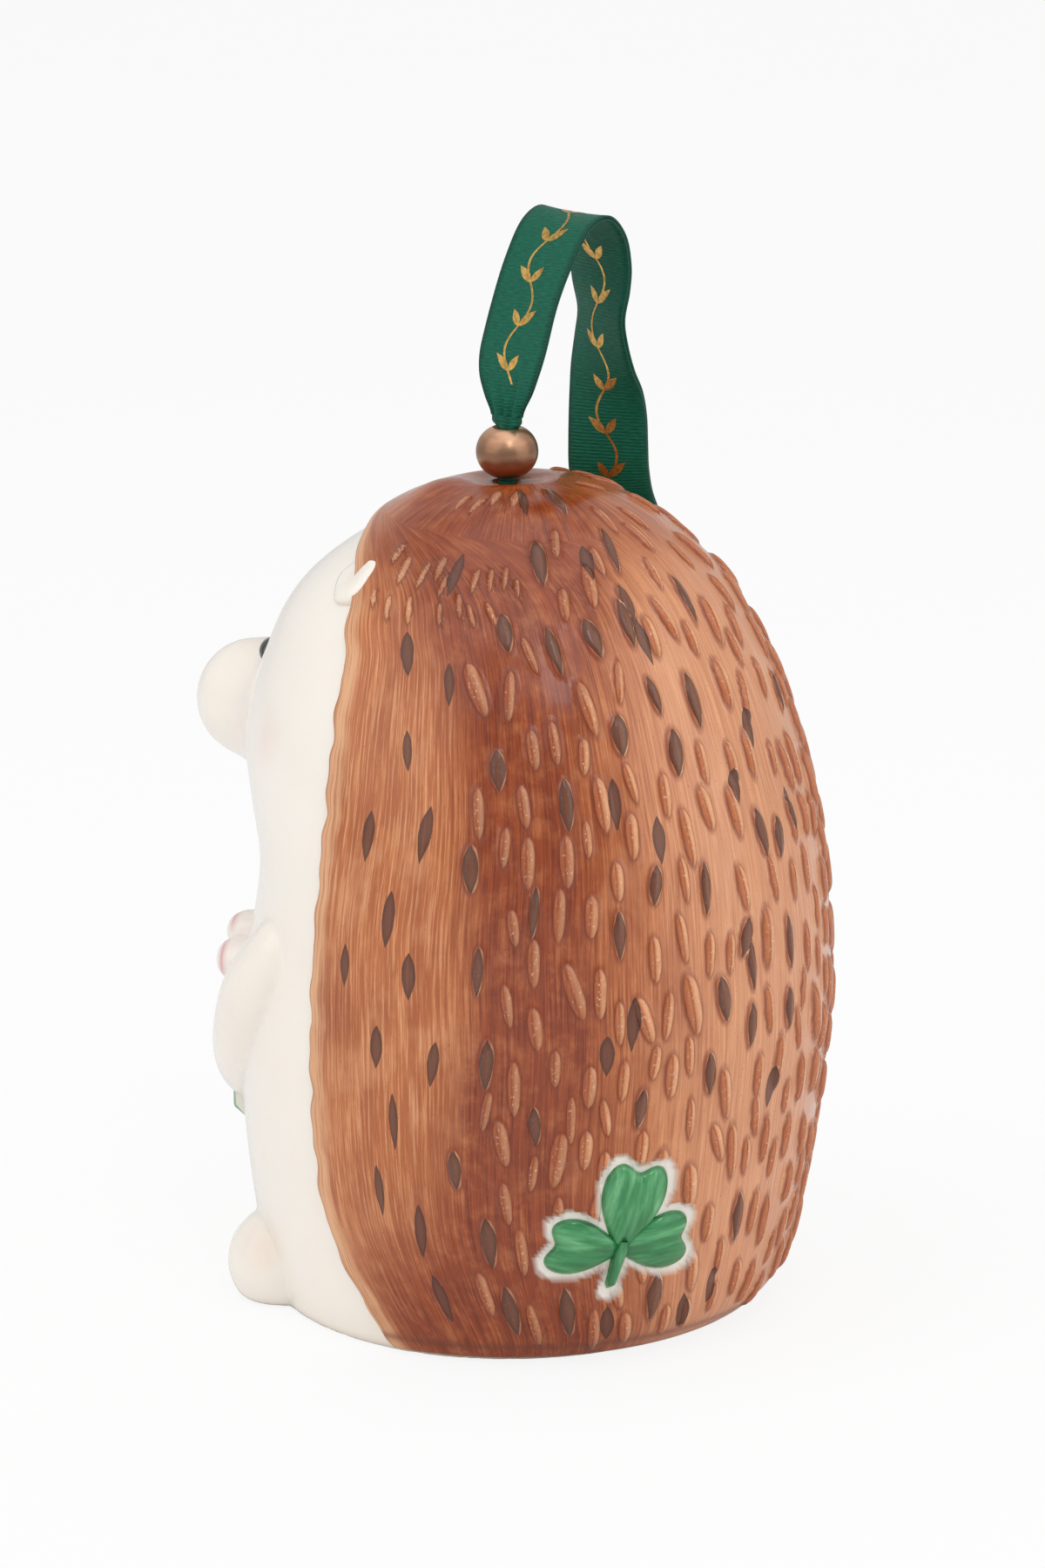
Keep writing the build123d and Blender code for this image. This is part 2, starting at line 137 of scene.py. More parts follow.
def bell_reaches(height):
    """Flank, front and back reach of the bell at a height."""
    place = np.clip(np.asarray(height, float) / shell_height, 0, 1)
    return (flank_reach * through_rows(form_rows, place, 1), front_reach * through_rows(form_rows, place, 2),
            back_reach * through_rows(form_rows, place, 3))


def on_bell(height, turn, growth=0.0):
    """Points on the bell, at a height and a turn from the middle of the back towards the left flank."""
    flank, front, back = bell_reaches(height)
    reach = np.where(np.cos(turn) > 0, back, front)
    widen, lift = 1 + growth / flank_reach, 1 + growth / shell_height
    x = flank * widen * np.sin(turn)
    y = form_axis_y + reach * widen * np.cos(turn)
    return np.stack(np.broadcast_arrays(x, y, height * lift), axis=-1)


print("widest level", np.round(bell_reaches(39.0), 1))

# %% [markdown]
# Painted strokes belong where the maker put them, and the darker patches of pooled glaze and painted
# shade where they lie, so the places of those that the photograph shows are kept as its pixels. The
# camera's place turns a pixel into a line of sight, and the place is where that line first meets the
# coat, so every stroke truly lies on the surface.

# %% Where the camera stands
view_turn, view_lift, view_away = math.radians(125.0), math.radians(15.1254), 800.0
lens_length, sensor_size, picture_width, picture_height = 152.9, 36.0, 1200, 1800
aim_height, aim_aside = 63.03, 0.194
sight_near, sight_far, sight_step = 60, 30, 0.1
level_share = math.cos(view_lift)
back_way = np.array([
    math.sin(view_turn) * level_share,
    -math.cos(view_turn) * level_share,
    math.sin(view_lift),
])
right_way = np.array([math.cos(view_turn), math.sin(view_turn), 0.0])
up_way = np.cross(back_way, right_way)
aim = np.array([0.0, form_axis_y, aim_height]) + right_way * aim_aside
eye_place = aim + back_way * view_away


def sight_line(pixel_x, pixel_y):
    """Direction from the camera through a pixel, a unit deep."""
    focal = lens_length / sensor_size * picture_height
    across_picture = right_way * (pixel_x - picture_width / 2)
    down_picture = up_way * (pixel_y - picture_height / 2)
    return (across_picture - down_picture) / focal - back_way


def seen_on_coat(pixel_x, pixel_y):
    """Height and turn of the place on the coat that a pixel shows."""
    away_steps = np.arange(view_away - sight_near, view_away + sight_far, sight_step)
    points = eye_place + away_steps[:, None] * sight_line(pixel_x, pixel_y)
    flank, front, back = bell_reaches(points[:, 2])
    away = points[:, 1] - form_axis_y
    out = np.hypot(points[:, 0] / flank, away / np.where(away > 0, back, front))
    hit = np.argmax((out - coat_thickness / flank_reach < 1) & (points[:, 2] < shell_height))
    x, y, height = points[hit]
    return float(height), math.atan2(x / flank[hit], away[hit] / (back[hit] if away[hit] > 0 else front[hit]))


print("middle of the picture", np.round(seen_on_coat(600, 1000), 2))

# %% [markdown]
# A mesh here is a list of points and the faces that join them. Most surfaces are rings or rows of
# points, so one helper joins neighbouring rows, and another puts a lid on each end of a tube.

# %% Rows of points into faces
def rows_to_faces(rows, columns, round_rows=False, round_columns=False):
    """Quads between neighbouring rows of points, closed round either way when asked."""
    up = rows if round_rows else rows - 1
    across = columns if round_columns else columns - 1
    i, j = np.meshgrid(np.arange(up), np.arange(across), indexing="ij")
    i2, j2 = (i + 1) % rows, (j + 1) % columns
    quads = np.stack([i * columns + j, i2 * columns + j, i2 * columns + j2, i * columns + j2], axis=-1)
    return quads.reshape(-1, 4).tolist()


def closed_tube_faces(rings, sides):
    """Faces of a tube of rings, with a lid at each end."""
    last = (rings - 1) * sides
    lids = [list(range(sides)), list(range(last + sides - 1, last - 1, -1))]
    return rows_to_faces(rings, sides, round_columns=True) + lids


print("three rows of four points have", len(rows_to_faces(3, 4)), "faces between them")

# %% [markdown]
# A piece is made from its points and faces, shaded smooth and fixed to the body that carries it. Paint
# is kept on the mesh as well: an amount, or a place of three numbers, at each point, for the finish to
# read. A leaf or a petal is one patch of a piece, so patches are gathered with what is painted on each.

# %% Points and faces into a piece
def put_in_scene(name, data):
    """An object in the scene that shows a mesh, a lamp or a camera."""
    thing = bpy.data.objects.new(name, data)
    bpy.context.scene.collection.objects.link(thing)
    return thing


def paint(piece, name, values, domain="POINT"):
    """Stores an amount, or a place of three numbers, at each point or corner, for the finish to read."""
    values = np.asarray(values, np.float32)
    kind, field = ("FLOAT_VECTOR", "vector") if values.shape[-1] == 3 else ("FLOAT", "value")
    layer = piece.data.attributes.new(name, kind, domain)
    layer.data.foreach_set(field, values.ravel())


def make_piece(name, points, faces, finish, body, slot, nodes=()):
    """A smooth-shaded object from points in millimetres, riding on its body."""
    mesh = bpy.data.meshes.new(name)
    mesh.from_pydata((np.asarray(points, float).reshape(-1, 3) * mm).tolist(), [], faces)
    mesh.update()
    mesh.polygons.foreach_set("use_smooth", [True] * len(mesh.polygons))
    mesh.materials.append(finish.material)
    piece = put_in_scene(name, mesh)
    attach(piece, body)
    if nodes:
        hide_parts(*nodes)
    print(name, len(mesh.vertices), "points")
    return piece


class Patches:
    """Several patches of points and faces that make one piece, with the paint on each."""

    def __init__(self):
        self.points, self.faces, self.paints = [], [], {}

    def add(self, points, faces, **paints):
        start = sum(len(p) for p in self.points)
        self.points.append(np.asarray(points, float).reshape(-1, 3))
        self.faces += [[start + k for k in face] for face in faces]
        for name, values in paints.items():
            self.paints.setdefault(name, []).append(values)

    def piece(self, name, *where):
        made = make_piece(name, np.vstack(self.points), self.faces, *where)
        for paint_name, values in self.paints.items():
            paint(made, paint_name, np.concatenate(values))
        return made


print("pieces start with", len(Patches().points), "patches")

# %% [markdown]
# A painter names a colour by how it looks, from 0 to 255. Light adds up in linear values, so each
# colour is turned into those by the display's own curve.

# %% Painter's colours
def tone(*painted):
    """A display colour from 0 to 255 as a linear colour."""
    return tuple(((c / 255 + 0.055) / 1.055) ** 2.4 if c > 10 else c / 255 / 12.92 for c in painted) + (1.0,)


print("brown", np.round(tone(196, 128, 88), 3))

# %% [markdown]
# Each finish is made of nodes. Glaze is a clear, glossy layer over colour, so its roughness is low and
# the colour below it varies: brush streaks, thin spots on the ridges and dark pools beside them. A
# small helper adds a node and feeds its sockets by name. A finish starts with a ground colour and is
# then brushed over, one layer at a time, as thickly as an amount says.

# %% A finish and its nodes
class Finish:
    """A material and short ways to add nodes to it."""

    def __init__(self, name, **shine):
        self.material = bpy.data.materials.new(name)
        self.material.use_nodes = True
        self.tree = self.material.node_tree
        self.shader = self.tree.nodes["Principled BSDF"]
        self.set(self.shader, **shine)

    def feed(self, socket, value):
        """Links a socket to another node's, or sets a plain value on it."""
        if isinstance(value, bpy.types.NodeSocket):
            self.tree.links.new(value, socket)
        else:
            socket.default_value = value

    def set(self, node, **values):
        for key, value in values.items():
            self.feed(node.inputs[key.replace("_", " ")], value)

    def add(self, kind, settings=None, **values):
        node = self.tree.nodes.new("ShaderNode" + kind)
        for key, value in (settings or {}).items():
            setattr(node, key, value)
        self.set(node, **values)
        return node

    def amount(self, name, output="Fac"):
        """A painted amount that the mesh carries, or with Vector a painted place."""
        return self.add("Attribute", {"attribute_name": name}).outputs[output]

    def stretched(self, vector, stretch):
        """A place with its three numbers scaled."""
        return self.add("Mapping", Vector=vector, Scale=stretch).outputs["Vector"]

    def place(self, stretch=(1.0, 1.0, 1.0)):
        """Where a point is on the object, stretched."""
        return self.stretched(self.add("TexCoord").outputs["Object"], stretch)

    def noise(self, vector, scale, detail=3.0, roughness=0.55):
        """Soft random blotches along a vector."""
        node = self.add("TexNoise", Vector=vector, Scale=scale, Detail=detail, Roughness=roughness)
        return node.outputs["Fac"]

    def ramp(self, value, *stops):
        """Colours by amount."""
        node = self.add("ValToRGB", Fac=value)
        while len(node.color_ramp.elements) < len(stops):
            node.color_ramp.elements.new(0.5)
        for element, (place, colour) in zip(node.color_ramp.elements, stops):
            element.position, element.color = place, colour
        return node.outputs["Color"]

    def grey(self, value, *stops):
        """An amount ramped through stops."""
        return self.ramp(value, *[(place, (worth, worth, worth, 1)) for place, worth in stops])

    def reckon(self, operation, first, second=0.0, clamp=False):
        """One sum on two amounts, free to leave 0 to 1 unless clamped."""
        node = self.add("Math", {"operation": operation, "use_clamp": clamp})
        for socket, value in zip(node.inputs, (first, second)):
            self.feed(socket, value)
        return node.outputs[0]

    def times(self, first, second):
        """Product of two amounts, kept from 0 to 1."""
        return self.reckon("MULTIPLY", first, second, True)

    def ground(self, colour):
        """The colour that lies under all others."""
        self.colour = colour
        self.set(self.shader, Base_Color=colour)

    def brush(self, colour, how_much):
        """One more colour brushed over those before."""
        node = self.add("Mix", {"data_type": "RGBA"})
        for number, value in ((0, how_much), (6, self.colour), (7, colour)):
            self.feed(node.inputs[number], value)
        self.ground(node.outputs[2])

    def dented(self, height, strength, distance):
        """Fine relief from an amount."""
        bump = self.add("Bump", Strength=strength, Distance=distance, Height=height)
        self.set(self.shader, Normal=bump.outputs["Normal"])


print("a finish can be", [way for way in ("ground", "brush", "dented") if hasattr(Finish, way)])

# %% [markdown]
# Many plain finishes, such as metal or a dark glaze, are two near tones that run into each other. One
# noise both tints and dents them, so the relief and the colour belong together, and they share one
# function.

# %% Mottled finishes
def mottled(name, grain, stops, relief, stretch=(1.0, 1.0, 1.0), **shine):
    """A finish that one noise both tints, through stops, and dents, by a strength and a depth."""
    finish = Finish(name, **shine)
    blotches = finish.noise(finish.place(stretch), grain)
    finish.ground(finish.ramp(blotches, *stops))
    finish.dented(blotches, *relief)
    print("made", name)
    return finish


print("stretch of a plain finish", mottled.__defaults__[0])

# %% [markdown]
# White porcelain isn't one flat white. The glaze is warm, a little creamier where it gathers, and it
# has a faint blush where the maker dusted pink on the cheeks. Tan is painted into the creases and along
# the rim as painted shade. Light enters porcelain slightly, which softens its shadows, so a little
# subsurface light is used.

# %% White glaze
porcelain = Finish("white_porcelain_glaze", Roughness=0.16, IOR=1.5, Subsurface_Weight=0.12,
                   Subsurface_Scale=0.002, Coat_Weight=0.35, Coat_Roughness=0.08)
cloud = porcelain.noise(porcelain.place(), 35.0, 2.0)
porcelain.ground(porcelain.ramp(cloud, (0.3, tone(250, 241, 229)), (0.7, tone(253, 246, 236))))
# Blush on the cheeks, which in the crease by the muzzle is painted shade as well.
porcelain.brush(tone(243, 203, 196), porcelain.times(porcelain.amount("blush_and_crease_shade"), 0.55))
# Painted shade: tan brushed into the creases and along the rim, where shadow falls.
porcelain.brush(tone(214, 178, 146), porcelain.times(porcelain.amount("shade"), 0.6))
porcelain.dented(porcelain.noise(porcelain.place(), 420.0, 2.0), 0.04, 0.0004)
print("made", porcelain.material.name)

# %% [markdown]
# The real body is cast in one piece: the muzzle, paws and feet flow out of the wall with soft creases,
# as glaze fills a sharp corner. Joining separate meshes would leave hard seams. So the wall and the
# members are first laid over each other, then a voxel remesh wraps them in one skin and a few
# smoothing passes round the creases. Away from the members the skin is put back on the exact form.

# %% Rounded members laid on the wall
def keep_in_wall(points, depth=2.2):
    """Moves what would reach into the hollow out to the middle of the wall."""
    flank, front, back = bell_reaches(points[..., 2])
    x, y = points[..., 0], points[..., 1] - form_axis_y
    reach = np.where(y > 0, back, front)
    out = np.sqrt((x / flank) ** 2 + (y / reach) ** 2)
    least = 1 - depth / flank
    push = np.where(out < least, least / np.maximum(out, 0.01), 1.0)
    return np.stack([x * push, y * push + form_axis_y, points[..., 2]], axis=-1)


def rounded_tube(centres, radii, sides=28):
    """A closed tube along points, with its own radius at each."""
    along = unit(np.gradient(centres, axis=0))
    side = unit(np.cross(along, (0, 0, 1.0)))
    other = np.cross(side, along)
    angle = round_turns(sides)[None, :, None]
    ring = side[:, None] * np.cos(angle) + other[:, None] * np.sin(angle)
    points = centres[:, None] + ring * radii[:, None, None]
    return points.reshape(-1, 3), closed_tube_faces(len(centres), sides)


def ball(centre, half_sizes, rows=22, sides=36):
    """A closed ellipsoid."""
    lift = np.linspace(-np.pi / 2, np.pi / 2, rows + 2)[1:-1]
    lift, angle = np.meshgrid(lift, round_turns(sides), indexing="ij")
    points = np.stack([np.cos(lift) * np.sin(angle), np.cos(lift) * np.cos(angle), np.sin(lift)], axis=-1)
    points = np.vstack([points.reshape(-1, 3), (0, 0, -1), (0, 0, 1)]) * half_sizes + centre
    faces = rows_to_faces(rows, sides, round_columns=True)
    low, high, top = rows * sides, rows * sides + 1, (rows - 1) * sides
    faces += [(low, j, (j + 1) % sides) for j in range(sides)]
    faces += [(high, top + (j + 1) % sides, top + j) for j in range(sides)]
    return points, faces


def member_line(stops, count=26):
    """Centres and radii along a member, from (height, turn in degrees, how far in, radius) stops."""
    stops = np.array(stops, float)
    steps = np.linspace(0, len(stops) - 1, count)
    rows = np.column_stack([np.arange(len(stops)), stops])
    height, turn, depth, radius = (through_rows(rows, steps, c) for c in (1, 2, 3, 4))
    return on_bell(height, np.radians(turn), -depth), radius


print("a ball has", len(ball((0, 0, 0), (1, 1, 1))[0]), "points")

# %% Wall of the bell
wall = 3.0
crown_hole = 1.7
wall_sides = 168
even_until = 80
turns = round_turns(wall_sides)
crown_climb = (shell_height - even_until) * np.sin(np.linspace(0.05, np.pi / 2, 34))
climb = np.concatenate([np.linspace(0, even_until, 70), even_until + crown_climb])
outside = on_bell(climb[:, None], turns[None, :])
inside = on_bell(climb[::-1, None], turns[None, :], -wall)
hole_ends = (shell_height, shell_height - wall)
hole_rings = [about_hanging_line(crown_hole, turns, height)[None] for height in hole_ends]
rings = np.concatenate([outside, *hole_rings, inside])
clay = Patches()
clay.add(rings, rows_to_faces(len(rings), wall_sides, round_rows=True, round_columns=True))
print("wall rings", len(rings))

# %% [markdown]
# The muzzle is a blunt cone that ends in a ball, a little flat on top and fuller below. Each arm hangs
# as a broad band from the flank to a paw that meets the other at the belly. The feet are round and
# stand on the same plane as the rim, so their soles are cut flat.

# %% Muzzle
muzzle_height = 68.0
muzzle_sides = 40
reach_steps = np.array([27.0, 29.5, 31.5, 33.5, 35.5, 37.5, 39.7, 41.9, 43.8, 45.4, 46.5, 47.1, 47.3])
muzzle_radii = np.array([11.0, 11.0, 10.7, 9.9, 8.9, 8.1, 7.6, 7.15, 6.3, 4.9, 3.3, 1.6, 0.3])[:, None]
muzzle_drop = np.array([1.4, 1.3, 1.1, 0.8, 0.5, 0.25, 0.1, 0, 0, 0, 0, 0, 0])[:, None]
cheek_widening = (1 + 0.16 * soft_step(38, 30, reach_steps))[:, None]
angle = round_turns(muzzle_sides)
muzzle = np.stack([
    muzzle_radii * np.sin(angle) * cheek_widening,
    form_axis_y - reach_steps[:, None] + 0 * angle,
    muzzle_height - muzzle_drop + muzzle_radii * np.cos(angle),
], axis=-1)
clay.add(keep_in_wall(muzzle.reshape(-1, 3)), closed_tube_faces(len(muzzle), muzzle_sides))
print("muzzle ends", reach_steps[-1], "mm before the axis")

# %% Arms and feet
arm_stops = [
    (52.0, 117, 3.2, 1.6),
    (49.0, 120, 3.0, 4.4),
    (42.0, 128, 2.4, 5.7),
    (34.0, 140, 2.3, 5.8),
    (28.6, 151, 2.2, 5.7),
    (26.0, 162, 2.2, 5.4),
    (25.0, 171, 2.8, 4.6),
    (24.6, 175, 3.2, 1.6),
]
foot_aside, foot_height, foot_half = 20.9, 4.6, (6.6, 6.6, 6.7)
for side in (1, -1):
    arm = [(height, side * turn, depth, radius) for height, turn, depth, radius in arm_stops]
    points, faces = rounded_tube(*member_line(arm))
    clay.add(keep_in_wall(points), faces)
    foot, faces = ball((side * foot_aside, form_axis_y - foot_aside, foot_height), foot_half)
    foot[:, 2] = np.maximum(foot[:, 2], 0.0)
    clay.add(keep_in_wall(foot), faces)
print("members", len(clay.points) - 1)

# %% One porcelain skin
clay_voxel, clay_passes = 0.65, 9
crown_from, crown_until = 86, 91
hollow_depth = -1.4
clay_mesh = bpy.data.meshes.new("clay")
clay_mesh.from_pydata((np.vstack(clay.points) * mm).tolist(), [], clay.faces)
clay_piece = put_in_scene("clay", clay_mesh)
skin = clay_piece.modifiers.new("skin", "REMESH")
skin.mode, skin.voxel_size = "VOXEL", clay_voxel * mm
soften = clay_piece.modifiers.new("soften", "SMOOTH")
soften.factor, soften.iterations = 0.5, clay_passes
wrapped = bpy.data.meshes.new_from_object(clay_piece.evaluated_get(bpy.context.evaluated_depsgraph_get()))
bpy.data.objects.remove(clay_piece)
points = np.zeros(len(wrapped.vertices) * 3)
wrapped.vertices.foreach_get("co", points)
points = points.reshape(-1, 3) / mm
flank, front, back = bell_reaches(points[:, 2])
level_x, level_y = points[:, 0], points[:, 1] - form_axis_y
out = np.sqrt((level_x / flank) ** 2 + (level_y / np.where(level_y > 0, back, front)) ** 2)
proud = (out - 1) * flank
settle = soft_step(0.12, 0.9, np.abs(proud)) + soft_step(crown_from, crown_until, points[:, 2])
settle += proud < hollow_depth
target = 1 + (out - 1) * np.clip(settle, 0, 1)
points[:, 0] = level_x * target / out
points[:, 1] = level_y * target / out + form_axis_y
points[:, 2] = np.clip(points[:, 2], 0, None)
quads = [list(face.vertices) for face in wrapped.polygons]
body_skin = make_piece("porcelain_body", points, quads, porcelain, "ceramic_bell", "white_glaze",
                       ("bell_shell", "snout", "left_arm", "right_arm", "left_foot", "right_foot"))
bpy.data.meshes.remove(wrapped)

# %% [markdown]
# The maker dusted the blush on with a soft brush, so each spot is full at its middle and fades evenly.
# The spot in the crease between muzzle and cheek is painted shade of that crease as well as blush.
# The same kind of spot, in tan, is painted shade in the creases, and painted shade darkens the body
# along the rim.

# %% Blush and shade on the body
# Pink blush on the cheeks; the first spot, in the crease between muzzle and cheek, is painted shade too.
blush_and_crease_shade_spots = [(on_bell(*seen_on_coat(298, 850)), 3.0, 0.5)]
# Painted shade: tan spots on top of the muzzle, under the arms and beside the feet.
shade_spots = [((0, -31.5, 76.5), 3.5, 0.5)]
for side in (1, -1):
    blush_and_crease_shade_spots += [((side * 10.5, -26.5, 64.0), 5.0, 1.0), ((side * 9.5, -27.5, 59.0), 4.0, 0.7)]
    shade_spots += [((side * 26.5, -15.5, 8.0), 3.2, 0.45), ((side * 24.0, -18.0, 42.0), 4.0, 0.35)]


def dusted(points, spots):
    """Soft round spots of paint, each from its middle, reach and amount."""
    return sum(amount * np.exp(-((np.linalg.norm(points - np.array(middle, float), axis=1) / reach) ** 2))
               for middle, reach, amount in spots)


paint(body_skin, "blush_and_crease_shade", np.clip(dusted(points, blush_and_crease_shade_spots), 0, 1))
# Painted shade along the foot of the body, just above the rim.
rim_shade = 0.3 * soft_step(1.6, 0.3, points[:, 2])
paint(body_skin, "shade", np.clip(dusted(points, shade_spots) + rim_shade, 0, 1))
print("spots", len(blush_and_crease_shade_spots) + len(shade_spots))

# %% [markdown]
# The coat is the part that takes skill. It is a thin skin over the back, ending in a slightly wavy
# edge beside the face, with hundreds of lens-shaped quills in staggered rows that run down from the
# crown. The maker brushed brown over it in long strokes, so the colour is thin and pale on the ridges
# and pools dark beside them, and then painted darker leaf strokes here and there. On top of that each
# quill is painted paler on the side towards the light as painted highlight and darker on the other
# side and at its foot as painted shade. Real relief is used instead of a bump effect because the
# outline shows it: a fine grid of points is raised quill by quill.

# %% Edge of the coat
parting_rows = np.array([
    (-0.060, -0.150), (0.000, -0.085), (0.030, -0.040), (0.100, 0.085), (0.180, 0.175),
    (0.330, 0.200), (0.485, 0.188), (0.645, 0.157), (0.745, 0.162), (0.836, 0.186),
    (0.870, 0.230), (0.908, 0.280), (0.958, 0.440), (1.060, 0.800),
])
widest_flow = 1.95


def edge_turn(height):
    """How far round from the middle of the back the coat reaches at a height."""
    flank, front, back = bell_reaches(height)
    before = front_reach * through_rows(parting_rows, np.asarray(height, float) / shell_height, 1)
    return np.arccos(np.clip(-before / np.where(before > 0, front, back), -1, 1))


def flow_turn(height):
    """The same, held back over the brow, where the brush ran straight down from the crown."""
    return np.minimum(edge_turn(np.clip(height, 0.5, 99.0)), widest_flow)


def coat_radius(height):
    """The coat's mean radius at a height."""
    flank, front, back = bell_reaches(height)
    return (flank + back) / 2


row_gap = 0.45
fine_heights = np.linspace(0.8, shell_height, 4000)
side_line = np.stack([bell_reaches(fine_heights)[2], fine_heights], axis=1)
walked = np.concatenate([[0], np.cumsum(np.linalg.norm(np.diff(side_line, axis=0), axis=1))])
row_marks = np.linspace(0, walked[-1], int(walked[-1] / row_gap))
coat_heights = np.interp(row_marks, walked, fine_heights)
closing = fine_heights[np.argmax(edge_turn(fine_heights) >= np.pi - 1e-6)]
# Rows crowd towards the closing, so that the slit between the two edges ends in a clean point.
near_closing = closing - 0.02 * np.arange(1, 12) ** 2
clear_of_closing = np.abs(coat_heights - closing + 1.2) > 1.25
coat_heights = np.sort(np.concatenate([coat_heights[clear_of_closing], near_closing, [closing]]))
coat_down = np.interp(coat_heights, fine_heights, walked)
print("coat rows", len(coat_heights), "closes over the brow at", round(float(closing), 1))

# %% [markdown]
# Rows and columns of points cover the coat, and a gentle wave moves the outermost ones so that the edge
# isn't ruled. Higher up the two edges meet over the brow, and from there on each row is a full ring.

# %% Grid of the coat
columns = 300
probe_down, probe_turn = 0.2, 0.005
across = np.linspace(-1, 1, columns)
sweeps = edge_turn(coat_heights)
girth = coat_radius(coat_heights)
open_rows = sweeps < np.pi - 0.02
wave = 0.42 * np.abs(np.sin(coat_down * 0.37 + 0.5)) + 0.14 * np.sin(coat_down * 1.3) - 0.3
wave = np.where(open_rows, wave * soft_step(0.1, 0.7, np.pi - sweeps) / girth, 0)
sweeps = np.where(open_rows, sweeps, np.pi)
coat_turns = sweeps[:, None] * across[None, :] + wave[:, None] * across[None, :] ** 41
sweeps = sweeps + wave
tall = np.repeat(coat_heights[:, None], columns, axis=1)
smooth_coat = on_bell(tall, coat_turns, coat_thickness)
climbing = smooth_coat - on_bell(tall - probe_down, coat_turns, coat_thickness)
turn_on, turn_back = (on_bell(tall, coat_turns + step, coat_thickness) for step in (probe_turn, -probe_turn))
coat_out = unit(np.cross(climbing, turn_on - turn_back))
flat_coat, flat_out = smooth_coat.reshape(-1, 3), coat_out.reshape(-1, 3)
flat_turn, flat_tall = coat_turns.reshape(-1), tall.reshape(-1)
cells = np.array(rows_to_faces(len(coat_heights), columns))
cell_corners = flat_coat[cells]
cell_middles = cell_corners.mean(axis=1)
print("cells", len(cells))

# %% [markdown]
# A painted stroke is a leaf, wider above and drawn to a point, and a quill is blunter, like a grain of
# rice. Each has its own small frame on the coat, up along the flow of the brush and across it. A place
# in that frame is two numbers, and one short sum of them tells how far inside the shape it is.

# %% Leaf outline and its frame
def leaf_depth(along, beside):
    """How far inside a painted leaf a place is: 1 on its middle, 0 on the outline, less outside."""
    return 1 - np.abs(beside) * (1 - 0.2 * along) - np.abs(along) ** 2.0


def grain_depth(along, beside):
    """The same for a quill, which is blunter, like a grain of rice."""
    return 1 - np.abs(beside) ** 1.8 * (1 - 0.2 * along) - np.abs(along) ** 2.4


def leaf_frame(height, turn, lean=0.0):
    """Middle of a leaf on the coat, its way up and its way across."""
    share = turn / flow_turn(height)
    middle = on_bell(height, turn, coat_thickness)
    high, low = (on_bell(height + d, share * flow_turn(height + d), coat_thickness) for d in (0.5, -0.5))
    up = unit(high - low)
    side = on_bell(height, turn + 0.01, coat_thickness) - middle
    side = unit(side - up * (side @ up))
    return middle, up * math.cos(lean) - side * math.sin(lean), side * math.cos(lean) + up * math.sin(lean)


print("a quarter out, leaf", round(leaf_depth(0.25, 0.25), 2), "and grain", round(grain_depth(0.25, 0.25), 2))

# %% [markdown]
# The first strokes are those that the photograph shows, each by the pixel at its middle. The far side
# isn't seen, so a seeded draw spreads more of them there, none too near to another.

# %% Painted strokes
stroke_pixels = [
    (601, 590), (637, 590), (523, 668), (619, 655), (674, 655), (700, 640), (719, 700), (786, 695),
    (468, 757), (516, 792), (580, 735), (636, 755), (737, 740), (680, 740), (795, 810), (711, 850),
    (859, 845), (468, 868), (572, 890), (775, 870), (843, 910), (423, 965), (488, 963), (650, 930),
    (757, 970), (893, 965), (541, 1003), (809, 1025), (446, 1060), (613, 1052), (711, 1078), (396, 1112),
    (469, 1125), (862, 1110), (830, 1150), (432, 1205), (697, 1215), (497, 1225), (814, 1235), (735, 1275),
    (452, 1290), (614, 1295), (523, 1345), (436, 1368), (483, 1415), (562, 1428), (508, 1492), (750, 1488),
    (815, 1475), (587, 1505), (651, 1507), (697, 1520), (782, 1505), (845, 1398), (862, 1180), (549, 1120),
    (727, 1180), (905, 1085), (559, 1225), (750, 805), (706, 929), (873, 960), (752, 1021), (891, 799),
    (905, 932), (855, 1080), (718, 722), (905, 1160), (884, 1250),
]
seen_from, seen_until = math.radians(-32), math.radians(101)
stroke_tries, gap_up, gap_across, usual_radius = 150, 6.5, 4.5, 30
draw = np.random.default_rng(41)


def drawn_stroke(height, turn, lean):
    """A stroke at a place, its lean, length and width drawn by chance."""
    return height, turn, draw.normal(lean, 0.08), draw.uniform(4.7, 7.2), draw.uniform(1.05, 2.0)


strokes = [drawn_stroke(*seen_on_coat(*pixel), 0.03) for pixel in stroke_pixels]
for number in range(stroke_tries):
    height, turn = draw.uniform(8, 92), draw.uniform(-1, 1)
    turn *= edge_turn(height) - 0.2
    gap = min(math.hypot((height - h) / gap_up, (turn - t) * usual_radius / gap_across)
              for h, t, *_ in strokes)
    if not seen_from <= turn <= seen_until and gap > 1:
        strokes.append(drawn_stroke(height, turn, 0))
print("strokes", len(stroke_pixels), "seen in the photograph and", len(strokes) - len(stroke_pixels), "more")

# %% [markdown]
# No two quills touch, and none is in line with the next, as a hand places them. So a seeded draw throws
# places at the coat and keeps those that are far enough from all kept before, farther up and down than
# across. On the left flank the maker left long smooth strokes, so few quills are raised there, and
# small lumps crowd the coat's edge below the crown. Most painted strokes lie on a quill of their own.

